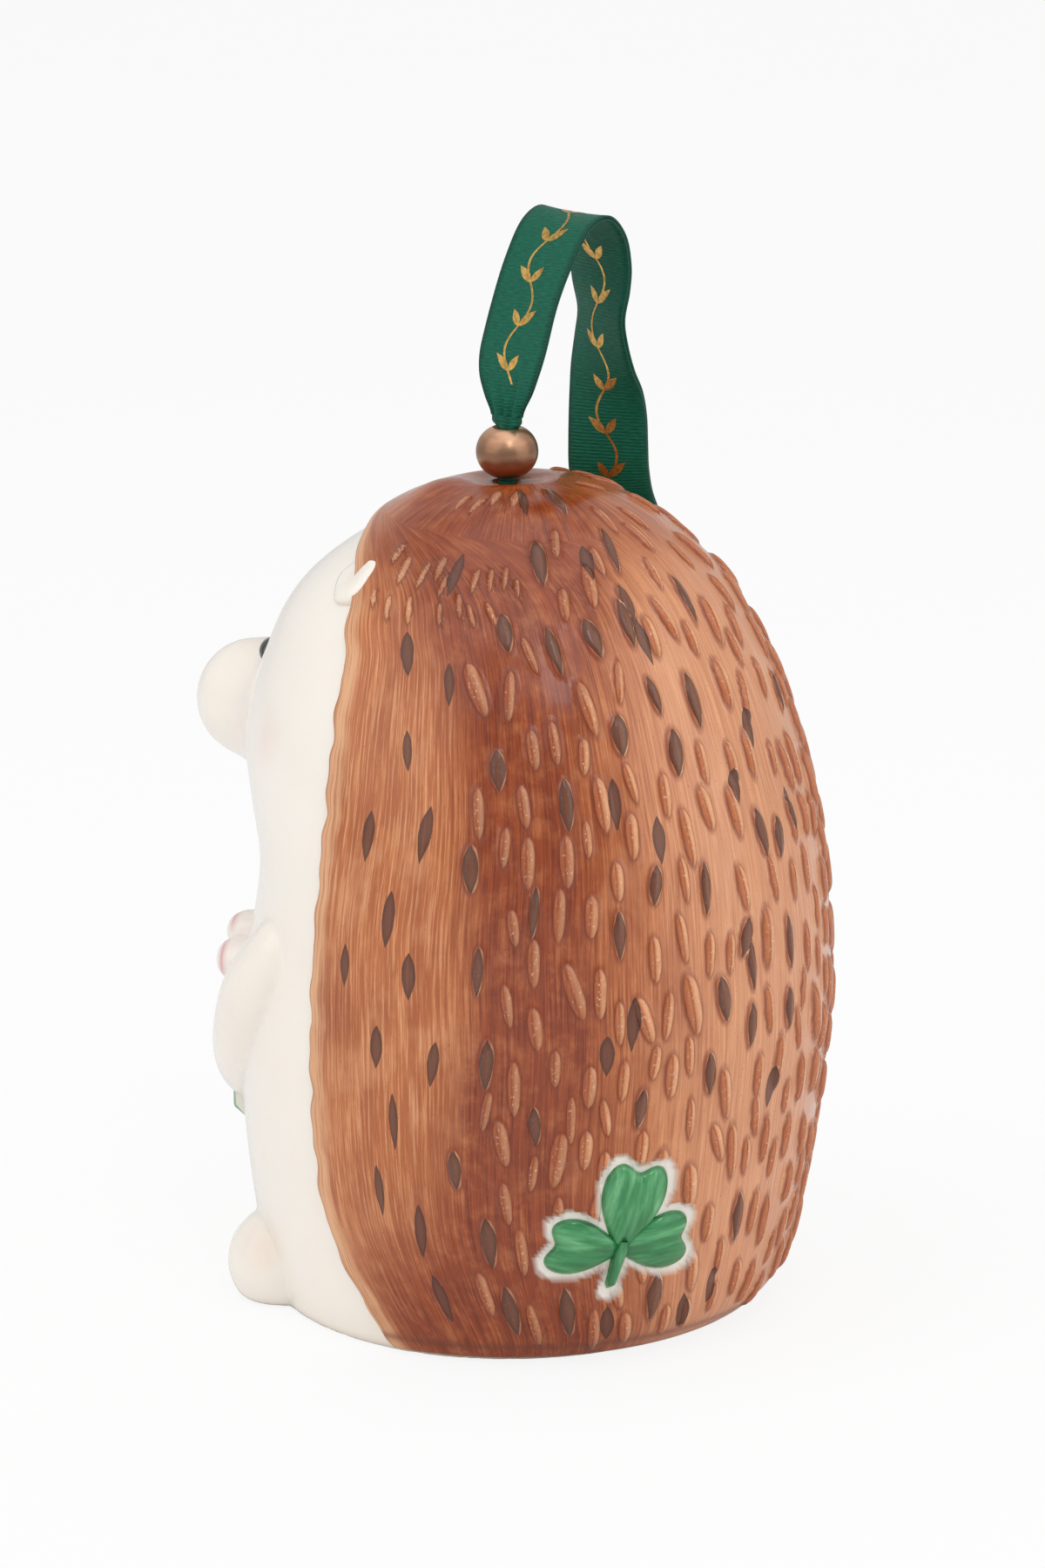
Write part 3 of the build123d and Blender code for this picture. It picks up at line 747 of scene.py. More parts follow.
# %% Where the quills are
quilled_until = math.radians(72)
quill_tries, quill_gap_up, quill_gap_across = 9000, 6.3, 2.9
rim_margin, crown_margin, edge_margin, closing_margin = 4.4, 3.5, 1.2, 2.0
quills = [(height, turn, lean, length, width * 1.12, 0.5) for number, (height, turn, lean, length, width)
          in enumerate(strokes) if turn < quilled_until and number % 4 and height > 6]
kept_places = [(height, turn) for height, turn, *_ in quills]
for number in range(quill_tries):
    down = draw.uniform(rim_margin, walked[-1] - crown_margin)
    height = float(np.interp(down, walked, fine_heights))
    reach = float(coat_radius(height))
    widest = float(flow_turn(height))
    turn = draw.uniform(-1, 1) * widest
    lumpy = height > 88 and turn > 1.0
    shrink = 0.6 if lumpy else 0.75 + 0.25 * float(soft_step(walked[-1] - 5, walked[-1] - 25, down))
    size = draw.uniform(0.78, 1.12) * shrink
    on_flank = 0 if lumpy else float(soft_step(quilled_until - 0.5, quilled_until + 0.05, turn))
    if abs(height - closing) < closing_margin and abs(turn) > 1.0:
        continue
    if draw.uniform() < on_flank * 1.02 or (widest - abs(turn)) * reach < edge_margin / size:
        continue
    spots = np.array(kept_places)
    gaps = np.hypot((spots[:, 0] - height) / quill_gap_up, (spots[:, 1] - turn) * reach / quill_gap_across)
    if gaps.min() > size:
        kept_places.append((height, turn))
        quills.append((height, turn, draw.normal(0, 0.1), draw.uniform(5.2, 7.2) * size,
                       draw.uniform(1.35, 2.0) * size, draw.uniform(0.55, 0.8) * (1.0 if lumpy else size)))
print("quills", len(quills))

# %% [markdown]
# A quill rises steeply from its outline and is nearly level along its back, so its height follows a
# bent ramp of how far inside a point is. The clay also swells round the crown's hole and at one shoulder.

# %% Raise the quills
shoulder_pixel, shoulder_swell, shoulder_reach = (506, 576), 0.9, 3.6
crown_swell = 0.85
relief = np.zeros(len(flat_coat))
for height, turn, lean, length, width, rise in quills:
    middle, up, side = leaf_frame(height, turn, lean)
    near = np.where(np.abs(flat_coat - middle).max(axis=1) < length)[0]
    away = flat_coat[near] - middle
    depth = np.clip(grain_depth(away @ up / (length / 2), away @ side / (width / 2)) + 0.35, 0, 1.35) / 1.35
    relief[near] = np.maximum(relief[near], rise * (1 - (1 - depth) ** 1.7) * soft_step(0, 0.3, depth))
from_hole = np.hypot(flat_coat[:, 0], flat_coat[:, 1] - hanging_axis_y)
relief += crown_swell * soft_step(2.0, 6.0, from_hole) * soft_step(22, 11, from_hole) * (flat_coat[:, 2] > 80)
shoulder = leaf_frame(*seen_on_coat(*shoulder_pixel))[0]
relief += shoulder_swell * np.exp(-((np.linalg.norm(flat_coat - shoulder, axis=1) / shoulder_reach) ** 2))
print("highest ridge", round(float(relief.max()), 2))

# %% [markdown]
# Paint has to be sharper than the grid of points. So each cell of the grid is given to the nearest
# leaf, and each of its corners keeps its two numbers in that leaf's frame. They change evenly over a
# cell, so the finish can draw a clean outline right through it.

# %% Give each cell to its leaf
def lay_leaves(leaves, depth_of):
    """For each corner of each cell, its place in the nearest leaf and that leaf's own drawn number."""
    best = np.full(len(cells), -9.0)
    laid = np.full((len(cells), 4, 3), 9.0)
    for number, (height, turn, lean, length, width, *rest) in enumerate(leaves):
        middle, up, side = leaf_frame(height, turn, lean)
        near = np.where(np.abs(cell_middles - middle).max(axis=1) < length)[0]
        away = cell_middles[near] - middle
        depth = depth_of(away @ up / (length / 2), away @ side / (width / 2))
        mine = near[depth > best[near]]
        best[mine] = depth[depth > best[near]]
        corners = cell_corners[mine] - middle
        laid[mine, :, 0] = corners @ up / (length / 2)
        laid[mine, :, 1] = corners @ side / (width / 2)
        laid[mine, :, 2] = (number * 0.618) % 1
    return laid


quill_place, stroke_place = lay_leaves(quills, grain_depth), lay_leaves(strokes, leaf_depth)
print("cells in a quill", int((np.abs(quill_place[:, 0, 0]) < 1).sum()))

# %% [markdown]
# The shamrock sits in a bare, white place low on the back. Its three heart leaves and stem are drawn
# flat and laid on the form. The coat's points inside its outline, grown by about a millimetre with a
# ragged edge at the stem, are sunk and left white.

# %% Outline of the shamrock
sprig_height, sprig_turn = seen_on_coat(713, 1437)
leaf_shapes = ((9.0, 10.0, 8.1), (-82.0, 7.9, 7.2), (84.0, 7.9, 7.5))
stem_length, stem_slant, stem_half_width = 4.9, 0.16, 0.6


def heart(steps, length, width, grow=0.0):
    """A heart with its point at the origin, drawn upward, with a shallow notch."""
    t = steps * 2 * np.pi
    wide = np.sin(t) * (0.55 + 0.45 * np.sin(t) ** 2) * (width / 2 + grow)
    tall = (13 * np.cos(t) - 3.2 * np.cos(2 * t) - 1.2 * np.cos(3 * t) - 0.4 * np.cos(4 * t) + 15.4) / 23.6
    return np.stack([wide, tall * (length + 2 * grow) - grow], axis=-1)


def turned(flat, degrees):
    """Flat points turned about the origin."""
    c, s = math.cos(math.radians(degrees)), math.sin(math.radians(degrees))
    return flat @ np.array([(c, s), (-s, c)])


def on_sprig_place(flat, rise):
    """Flat points laid on the coat at the shamrock's place."""
    height = sprig_height + flat[..., 1]
    return on_bell(height, sprig_turn + flat[..., 0] / coat_radius(height), rise)


def inside_outline(flat, outline):
    """Which flat points lie in a closed outline, by counting its crossings."""
    crossed = np.zeros(len(flat), bool)
    x, y = flat[:, 0], flat[:, 1]
    for (x1, y1), (x2, y2) in zip(outline, np.roll(outline, -1, axis=0)):
        crossing = (x2 - x1) * (y - y1) / (y2 - y1 + 1e-12) + x1
        crossed ^= ((y1 > y) != (y2 > y)) & (x < crossing)
    return crossed


print("shamrock at height", round(sprig_height, 1))

# %% Bare place under the shamrock
local = np.stack([(flat_turn - sprig_turn) * coat_radius(flat_tall), flat_tall - sprig_height], axis=1)
close = np.where((np.abs(local) < 14).all(axis=1))[0]
beside, above = local[close].T
ragged = 0.25 * np.sin(beside * 3.1) * np.sin(above * 2.3 + 1)
stem_gap = np.hypot(beside + stem_slant * above, above - np.clip(above, -stem_length, 0)) + ragged
bare = np.zeros(len(flat_coat))
for grow, worth in ((0.95, 0.4), (0.65, 1.0)):
    for lean, length, width in leaf_shapes:
        outline = turned(heart(np.linspace(0, 1, 60, endpoint=False), length, width, grow), lean)
        bare[close] = np.maximum(bare[close], inside_outline(local[close], outline) * worth)
    bare[close] = np.maximum(bare[close], (stem_gap < stem_half_width + grow) * worth)
relief *= 1 - bare
print("bare points", int((bare > 0.5).sum()))

# %% [markdown]
# Darker reddish patches lie over the brown: partly glaze that the maker's brush left pooled between the
# strokes, and partly painted shade, darkest down the middle where the coat faces the camera and low by
# the rim. Each is kept as a pixel at its middle, its reach in millimetres and how strong it is, and
# fades out softly, farther down than across.

# %% Pooled glaze and painted shade
deep_pixels = [
    (600, 640, 6.0, 0.8), (588, 692, 7.0, 0.9), (640, 600, 5.0, 0.6), (560, 760, 5.0, 0.5),
    (622, 800, 7.0, 0.7), (590, 900, 6.0, 0.6), (598, 1010, 6.0, 0.7), (606, 1120, 7.5, 0.9),
    (640, 1200, 6.0, 0.7),
    (560, 1262, 4.0, 0.5), (600, 1332, 6.5, 0.8), (556, 1400, 5.0, 0.5), (520, 1510, 8.0, 0.7),
    (602, 1535, 9.0, 0.9), (450, 1500, 5.0, 0.5), (690, 1530, 8.0, 0.5), (470, 620, 5.0, 0.6),
    (540, 600, 6.0, 0.6), (700, 1010, 6.0, 0.3), (500, 705, 5.0, 0.4), (570, 585, 6.0, 0.9),
    (500, 590, 5.0, 0.45), (600, 960, 5.0, 0.6), (600, 1260, 6.0, 0.6), (430, 590, 4.0, 0.35),
    (760, 1180, 6.0, 0.3), (660, 700, 5.0, 0.5), (720, 600, 6.0, 0.4), (640, 1430, 4.0, 0.5),
    (385, 1160, 3.0, 0.5),
]
pool_and_shade = np.zeros(len(flat_coat))
for pixel_x, pixel_y, reach, amount in deep_pixels:
    middle, up, side = leaf_frame(*seen_on_coat(pixel_x, pixel_y))
    away = flat_coat - middle
    pool_and_shade += amount * np.exp(-((away @ side / reach) ** 2) - (away @ up / (1.8 * reach)) ** 2)
beyond_view = soft_step(math.radians(-25), math.radians(-60), flat_turn)
pool_and_shade += 0.5 * beyond_view * (0.5 + 0.5 * np.sin(flat_turn * 7) * np.sin(flat_tall * 0.11))
print("deepest stain", round(float(pool_and_shade.max()), 2))

# %% [markdown]
# The coat's grid becomes a piece once it is closed down onto the body: a row is tucked in below the rim,
# two rings go into the crown's hole, and a strip along each side edge turns in under the skin.

# %% Coat as a piece
sink = -0.45 * bare
tuck = -0.2
hole_slack = 0.1
hole_heights = (100.0, 98.0)
raised = flat_coat + flat_out * (relief + sink)[:, None]
raised = raised.reshape(len(coat_heights), columns, 3)
raised[~open_rows, -1] = raised[~open_rows, 0]
coat_hole = crown_hole + hole_slack
hole_rings = [about_hanging_line(coat_hole, coat_turns[-1], height)[None] for height in hole_heights]
coat_rows = np.concatenate([on_bell(tall[:1], coat_turns[:1], tuck), raised, *hole_rings])
faces = rows_to_faces(len(coat_rows), columns)
coat_points = coat_rows.reshape(-1, 3)
tucked_rows = np.where(open_rows)[0] + 1
for column in (0, columns - 1):
    start = len(coat_points)
    tucked = on_bell(tall[open_rows, column], coat_turns[open_rows, column], tuck)
    coat_points = np.vstack([coat_points, tucked])
    for k in range(len(tucked_rows) - 1):
        low, high = tucked_rows[k] * columns + column, tucked_rows[k + 1] * columns + column
        quad = (start + k, start + k + 1, high, low)
        faces.append(quad if column == 0 else quad[::-1])
print("coat faces", len(faces))

# %% [markdown]
# The brown is brushed on, so its streaks run down the coat: a noise that is stretched along the run
# and fine across it. The brush coordinates, millimetres across and down, make the streaks follow the
# form and its edge.

# %% Brush marks in the brown
coat_glaze = Finish("brown_brushed_glaze", Roughness=0.2, IOR=1.48, Coat_Weight=0.2, Coat_Roughness=0.06)
times, grey, reckon = coat_glaze.times, coat_glaze.grey, coat_glaze.reckon
brush_place = coat_glaze.amount("brush_place", "Vector")


def brushed(stretch, scale, detail=4.0, roughness=0.6):
    """A noise that follows the brush."""
    return coat_glaze.noise(coat_glaze.stretched(brush_place, stretch), scale, detail, roughness)


fine = brushed((1.0, 0.025, 1.0), 3.2, 5.0, 0.7)
broad = brushed((0.32, 0.045, 1.0), 1.2)
pale_patches = brushed((0.09, 0.06, 1.0), 1.5, 3.0)
mottle = brushed((0.45, 0.35, 1.0), 1.0)
speck = brushed((1.0, 0.7, 1.0), 3.4, 2.0)
print("made", coat_glaze.material.name)

# %% [markdown]
# The finish repeats the sums of the two outlines from the leaf's own numbers, a little roughened, so
# the edge of the paint is drawn clean through every cell. The outline lies where the result is 0.75.

# %% Outlines in the glaze
def shape_amounts(attribute, side_power, long_power):
    """Depth in the nearest shape, laid so that its outline is at 0.75, and its own places."""
    parts = coat_glaze.add("SeparateXYZ", Vector=coat_glaze.amount(attribute, "Vector")).outputs
    widening = reckon("SUBTRACT", 1.0, reckon("MULTIPLY", parts[0], 0.2))
    across_part = reckon("POWER", reckon("ABSOLUTE", parts[1]), side_power)
    along_part = reckon("POWER", reckon("ABSOLUTE", parts[0]), long_power)
    outside = reckon("ADD", reckon("MULTIPLY", across_part, widening), along_part)
    rough = reckon("MULTIPLY", reckon("SUBTRACT", mottle, 0.5), 0.12)
    return reckon("ADD", reckon("SUBTRACT", 1.0, reckon("MULTIPLY", outside, 0.25)), rough), parts


quill_depth, quill_parts = shape_amounts("quill_place", 1.8, 2.4)
stroke_depth = shape_amounts("stroke_place", 1.0, 2.0)[0]
print("outlines of quills and strokes")

# %% [markdown]
# First comes the ground: streaked brown, with broad redder bands and pale patches, a paler tan over the
# back and right side as painted sheen, and pale and deep streaks on the left flank. The darker reddish
# patches of pooled glaze and painted shade lie over it.

# %% Brown ground
coat_glaze.ground(coat_glaze.ramp(fine, (0.30, tone(134, 60, 20)), (0.45, tone(180, 98, 48)),
                                  (0.56, tone(206, 126, 72)), (0.72, tone(228, 164, 116))))
coat_glaze.brush(tone(146, 60, 14), times(grey(broad, (0.45, 0), (0.62, 0.8)), 0.7))
coat_glaze.brush(tone(224, 156, 108), times(grey(pale_patches, (0.34, 0.8), (0.48, 0)), 0.6))
# Painted sheen: a paler tan over the back and the right side.
tan = coat_glaze.ramp(fine, (0.3, tone(206, 136, 94)), (0.7, tone(234, 176, 136)))
coat_glaze.brush(tan, times(coat_glaze.amount("sheen_side"), 0.75))
on_left = coat_glaze.amount("left_flank")
coat_glaze.brush(tone(186, 108, 58), times(on_left, grey(fine, (0.40, 0.6), (0.52, 0))))
coat_glaze.brush(tone(226, 166, 120), times(on_left, grey(fine, (0.50, 0), (0.66, 0.7))))
# Darker reddish patches lie over the ground, partly pooled glaze and partly painted shade.
pool_and_shade_amount = coat_glaze.amount("pool_and_shade")
pool_and_shade_colour = coat_glaze.ramp(fine, (0.35, tone(104, 30, 2)), (0.65, tone(164, 74, 24)))
coat_glaze.brush(pool_and_shade_colour, times(pool_and_shade_amount, grey(mottle, (0.30, 0.55), (0.55, 1.0))))
print("ground laid")

# %% [markdown]
# Glaze thins on a quill's ridge and pools at its foot. Each quill is painted pale on the side towards the
# light as painted highlight and red-brown with a fine line on the other side, partly painted shade, and
# its foot is dark from pooled glaze and painted shade on that side. Specks of bare clay and of deep brown
# are scattered over it.

# %% Glaze on the quills
sideways = quill_parts[1]
# Painted shade: the dark foot is strongest on the side away from the light.
shaded_side = grey(reckon("ADD", times(sideways, 0.5), 0.35), (0.2, 0.35), (0.8, 1.0))
foot = times(grey(quill_depth, (0.56, 0), (0.70, 0.8), (0.76, 1.0), (0.82, 0.2)), shaded_side)
coat_glaze.brush(tone(128, 48, 12), times(foot, 0.85))
# Painted highlight on the side towards the light, and red-brown partly painted shade with a fine line on the
# other.
quill_lit_and_shaded_colour = coat_glaze.ramp(
    reckon("ADD", reckon("MULTIPLY", sideways, 0.4), 0.5),
    (0.12, tone(208, 136, 88)), (0.28, tone(242, 186, 140)), (0.50, tone(214, 142, 92)),
    (0.60, tone(146, 60, 20)), (0.68, tone(196, 114, 64)), (0.88, tone(170, 86, 40)))
inside_quill = times(grey(quill_depth, (0.75, 0), (0.80, 0.95)), grey(mottle, (0.30, 0.55), (0.60, 1.0)))
clear_of_pool_and_shade = reckon("SUBTRACT", 1.0, times(pool_and_shade_amount, 0.55), True)
coat_glaze.brush(quill_lit_and_shaded_colour, times(inside_quill, clear_of_pool_and_shade))
ridge = grey(quill_depth, (0.82, 0), (0.93, 0.75))
coat_glaze.brush(tone(244, 220, 198), times(ridge, grey(speck, (0.60, 0), (0.70, 0.8))))
coat_glaze.brush(tone(120, 52, 20), grey(speck, (0.27, 0.6), (0.33, 0)))
print("quills glazed")

# %% [markdown]
# The coat is paler along its side edges, streaked like the brush and partly painted highlight, and a
# dark band just above the rim is painted shade of the small fold there. The painted strokes come last:
# their paint is thin, so the brown and its streaks show through, and it gathers at the outline.

# %% Edges and painted strokes
# Paler side edges, streaked like the brush and partly painted highlight.
coat_glaze.brush(tone(228, 174, 130), times(coat_glaze.amount("edge"), grey(fine, (0.36, 0.25), (0.52, 0.9))))
# Painted shade: a dark band just above the rim, the shade of the small fold there.
coat_glaze.brush(tone(108, 48, 22), times(coat_glaze.amount("rim"), 0.6))
stroke_colour = coat_glaze.ramp(stroke_depth, (0.75, tone(44, 16, 5)), (0.79, tone(70, 32, 17)),
                                (0.92, tone(98, 54, 36)))
coat_glaze.brush(stroke_colour, times(grey(stroke_depth, (0.747, 0), (0.757, 1)), 0.88))
coat_glaze.brush(tone(243, 236, 226), coat_glaze.amount("bare"))
quill_relief = times(grey(quill_depth, (0.60, 0.3), (0.74, 0.1), (0.80, 0.45), (0.95, 0.8)), 0.85)
coat_glaze.dented(reckon("ADD", times(fine, 0.10), quill_relief, True), 0.6, 0.0005)
print("strokes painted")

# %% [markdown]
# The finish reads nine kinds of paint from the mesh. Six are plain amounts, worked out from where a
# point lies, and three are places: the brush's own, and those in the nearest quill and stroke.

# %% Paint on the coat
brush_width = 60
edge_gap = ((sweeps[:, None] - np.abs(coat_turns)) * girth[:, None]).ravel()
edge_gap = np.where(np.repeat(open_rows, columns), edge_gap, 30.0)


def coat_amounts(values):
    """Amounts for the grid's points, with plain ones for the rows and edges added round it."""
    grid = values.reshape(len(coat_heights), columns)
    return np.concatenate([grid[:1].ravel(), grid.ravel(), np.zeros(2 * columns + 2 * len(tucked_rows))])


def coat_corners(laid):
    """Leaf places for every corner of every face, with far-off ones outside the grid."""
    every = np.full((len(faces), 4, 3), 9.0)
    every[columns - 1:columns - 1 + len(cells)] = laid
    return every


coat = make_piece("quill_coat", coat_points, faces, coat_glaze, "ceramic_bell", "brown_glaze",
                  ("spiny_coat",))
# Some of these amounts are painted light: the paler back and right side is painted sheen, the pale side edges
# are partly painted highlight, the dark band above the rim is painted shade, and the darker patches are
# partly painted shade.
for name, values in (
    ("pool_and_shade", np.clip(pool_and_shade, 0, 1)),
    ("sheen_side", soft_step(46, 12, np.degrees(flat_turn)) * soft_step(99, 88, flat_tall)),
    ("bare", bare),
    ("edge", soft_step(-0.3, 0.3, edge_gap) * soft_step(2.8, 1.0, edge_gap)),
    ("left_flank", soft_step(58, 80, np.degrees(flat_turn)) * soft_step(94, 80, flat_tall)),
    ("rim", np.exp(-(((flat_tall - 2.4) / 0.5) ** 2))),
):
    paint(coat, name, coat_amounts(values))
brush_across = coat_amounts(np.tile(brush_width * across, len(coat_heights)))
brush_down = coat_amounts(np.repeat(coat_down, columns))
paint(coat, "brush_place", np.stack([brush_across, brush_down, 0 * brush_down], axis=1))
paint(coat, "quill_place", coat_corners(quill_place), "CORNER")
paint(coat, "stroke_place", coat_corners(stroke_place), "CORNER")
print("coat painted")

# %% [markdown]
# The shamrock's leaves are low domes with a groove down the middle. Each is a set of hearts inside one
# another, so the rise can follow how far in a ring is. The green was brushed outward from the middle of
# each leaf, and painted shade darkens it in the groove and at the rim.

# %% Green glaze
leaf_green = Finish("green_brushed_glaze", Roughness=0.18, Coat_Weight=0.4, Coat_Roughness=0.06)
leaf_run = leaf_green.stretched(leaf_green.amount("leaf_run", "Vector"), (1.0, 0.16, 1.0))
bristles = leaf_green.noise(leaf_run, 0.9, 5.0)
leaf_green.ground(leaf_green.ramp(bristles, (0.30, tone(24, 108, 52)), (0.46, tone(48, 136, 78)),
                                  (0.60, tone(86, 164, 106)), (0.76, tone(140, 196, 148))))
# Painted shade in the leaves' grooves and towards their rims.
leaf_green.brush(tone(12, 84, 40), leaf_green.times(leaf_green.amount("groove"), 0.7))
leaf_green.brush(tone(243, 236, 226), leaf_green.amount("left_white"))
leaf_green.dented(bristles, 0.15, 0.0002)


def brush_run(flat, stroke=0.0):
    """The brush's own places, in millimetres across and along a leaf, and one number for the leaf."""
    return np.stack([flat[..., 0], flat[..., 1], flat[..., 0] * 0 + stroke], axis=-1).reshape(-1, 3)


print("made", leaf_green.material.name)

# %% Shamrock
leaf_sides = 72
leaf_rise, leaf_foot = 1.25, 0.35
around = np.linspace(0, 1, leaf_sides, endpoint=False)
levels = np.linspace(1, 0, 13)[:, None]
sprig = Patches()
for lean, length, width in leaf_shapes:
    outline = heart(around, length, width)
    middle = np.array([0.0, length * 0.58])
    flat = middle + (outline - middle)[None] * levels[..., None]
    groove = np.exp(-((flat[..., 0] / 0.5) ** 2)) * soft_step(length * 0.75, length * 0.1, flat[..., 1])
    rise = leaf_rise * np.sqrt(np.clip(1 - levels**2.6, 0, 1)) - 0.15 * groove + leaf_foot
    flat, rise = np.concatenate([flat[:1], flat]), np.concatenate([rise[:1] * 0 + 0.1, rise])
    # Painted shade: darker in the groove and at the rim of each leaf.
    edge_shade = np.concatenate([levels[:1], levels]) ** 12 * 0.35
    shade = np.maximum(np.concatenate([groove[:1], groove]) * 0.7, edge_shade).ravel()
    sprig.add(on_sprig_place(turned(flat.reshape(-1, 2), lean).reshape(flat.shape), rise),
              rows_to_faces(len(flat), leaf_sides, round_columns=True),
              groove=shade, left_white=0 * shade, leaf_run=brush_run(flat, lean))
print("leaves", len(leaf_shapes))

# %% Stem of the shamrock
stem_run = np.linspace(1.2, -stem_length, 20)[:, None]
stem_side = np.linspace(-1, 1, 9)
stem_widths = {-stem_length: 0.2, -stem_length + 0.7: 0.6, -2.4: 0.7, 0.0: 0.95, 1.2: 0.5}
stem_half = np.interp(stem_run, list(stem_widths), list(stem_widths.values()))
flat = np.stack([stem_half * stem_side - stem_slant * stem_run, stem_run + 0 * stem_side], axis=-1)
tip = soft_step(-stem_length, -stem_length + 0.6, stem_run)
rise = 0.3 + 1.35 * np.sqrt(np.clip(1 - stem_side**2, 0, 1)) * tip
sprig.add(on_sprig_place(flat, rise), rows_to_faces(*flat.shape[:2]),
          groove=np.full(rise.size, 0.25), left_white=np.zeros(rise.size), leaf_run=brush_run(flat, 5.0))
sprig.piece("shamrock", leaf_green, "ceramic_bell", "green_glaze", ("shamrock_sprig",))

# %% [markdown]
# The eyes and nose are small raised beads of dark overglaze. The ears are shallow white lobes, raised
# on the side away from the face, that lie where the coat meets the brow. A little tan is painted on
# each as painted shade, at the middle of the lobe and in the crease round its rim.

# %% Dark overglaze
dark_stops = [(0.35, tone(34, 28, 27)), (0.7, tone(52, 42, 40))]
dark_glaze = mottled("dark_overglaze", 1500.0, dark_stops, (0.05, 0.0001),
                     Roughness=0.08, Coat_Weight=1.0, Coat_Roughness=0.04)

# %% Eyes and nose
eye_height, eye_slant, eye_wide, eye_tall, eye_proud = 76.2, 0.35, 1.9, 1.7, 0.25
nose_reach, nose_half = 46.7, (2.0, 0.8, 1.6)
bead_rows, bead_sides = 18, 28


def seat_on_bell(height, turn, growth=0.0):
    """A place on the bell with its directions out, up and across."""
    middle = on_bell(height, turn, growth)
    up = on_bell(height + 0.3, turn, growth) - on_bell(height - 0.3, turn, growth)
    side = on_bell(height, turn + 0.01, growth) - on_bell(height, turn - 0.01, growth)
    out, side = unit(np.cross(up, side)), unit(side)
    return middle, out, np.cross(side, out), side


def middle_of(node):
    """The middle of a solid's box in millimetres, and the turn on the bell where it lies."""
    low, high = (np.array(corner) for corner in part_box(node))
    middle = (low + high) / 2 / mm
    return middle, math.atan2(middle[0] / flank_reach, (middle[1] - form_axis_y) / front_reach)


for side, name in ((1, "left_eye"), (-1, "right_eye")):
    middle, out, up, level = seat_on_bell(eye_height, middle_of(name)[1])
    points, faces = ball((0, 0, 0), (1.0, 1.0, 1.0), bead_rows, bead_sides)
    sine, cosine = math.sin(eye_slant * side), math.cos(eye_slant * side)
    points = (middle + points[:, :1] * (level * cosine + up * sine) * eye_wide
              + points[:, 2:] * (up * cosine - level * sine) * eye_tall
              + (points[:, 1:2] * eye_tall + eye_proud) * out)
    make_piece(name + "_bead", points, faces, dark_glaze, "ceramic_bell", "dark_glaze", (name,))
nose_height = middle_of("nose_tip")[0][2]
points, faces = ball((0, form_axis_y - nose_reach, nose_height), nose_half, bead_rows, bead_sides)
make_piece("nose_bead", points, faces, dark_glaze, "ceramic_bell", "dark_glaze", ("nose_tip",))

# %% Ears
ear_height, ear_turn, ear_aside, ear_tall = 90.6, math.radians(115), 3.3, 3.9
ear_sides = 56
inward = np.linspace(0, 1, 16)[::-1]
angle = round_turns(ear_sides)
ear_rim = 1 + 0.05 * np.cos(3 * angle + 0.6) + 0.04 * np.cos(5 * angle)
ear_swell = np.interp(inward, [0, 0.3, 0.6, 0.8, 0.92, 1.0], [1.05, 1.05, 1.0, 0.75, 0.35, -0.5])
# Painted shade: tan at the middle of the lobe and in the crease round its rim.
ear_shade = soft_step(0.7, 0.1, inward) * 0.25 + soft_step(0.93, 1.0, inward) * 0.5
for side, name in ((1, "left_ear"), (-1, "right_ear")):
    middle, out, up, level = seat_on_bell(ear_height, side * ear_turn, 0.3)
    flat_side = inward[:, None] * np.cos(angle) * ear_rim * ear_aside
    flat_up = inward[:, None] * np.sin(angle) * ear_rim * ear_tall
    outer = 0.5 - 0.5 * (inward[:, None] * np.cos(angle) * side)
    rise = ear_swell[:, None] * (0.05 + 0.95 * outer)
    points = middle + flat_side[..., None] * level + flat_up[..., None] * up + rise[..., None] * out
    points = np.concatenate([points[:1] - out * 1.8, points])
    faces = rows_to_faces(len(points), ear_sides, round_columns=True)
    ear = make_piece(name + "_lobe", points, faces, porcelain, "ceramic_bell", "white_glaze", (name,))
    paint(ear, "shade", np.repeat(np.concatenate([[0.5], ear_shade]), ear_sides))
    paint(ear, "blush_and_crease_shade", np.zeros(len(points) * ear_sides))

# %% [markdown]
# The flower at the paws is pressed from five round petals about a button. It is white with a thin line
# of pink just inside the petals' edges, and two leaves spread below it.

# %% Flower glaze
petal_stops = [(0.3, tone(246, 236, 228)), (0.7, tone(250, 243, 236))]
petal_glaze = mottled("petal_glaze", 700.0, petal_stops, (0.06, 0.0002),
                      Roughness=0.15, Coat_Weight=0.5, Coat_Roughness=0.06)
petal_glaze.brush(tone(206, 62, 84), petal_glaze.times(petal_glaze.amount("rim_pink"), 0.55))
petal_glaze.brush(tone(226, 178, 84), petal_glaze.amount("button"))

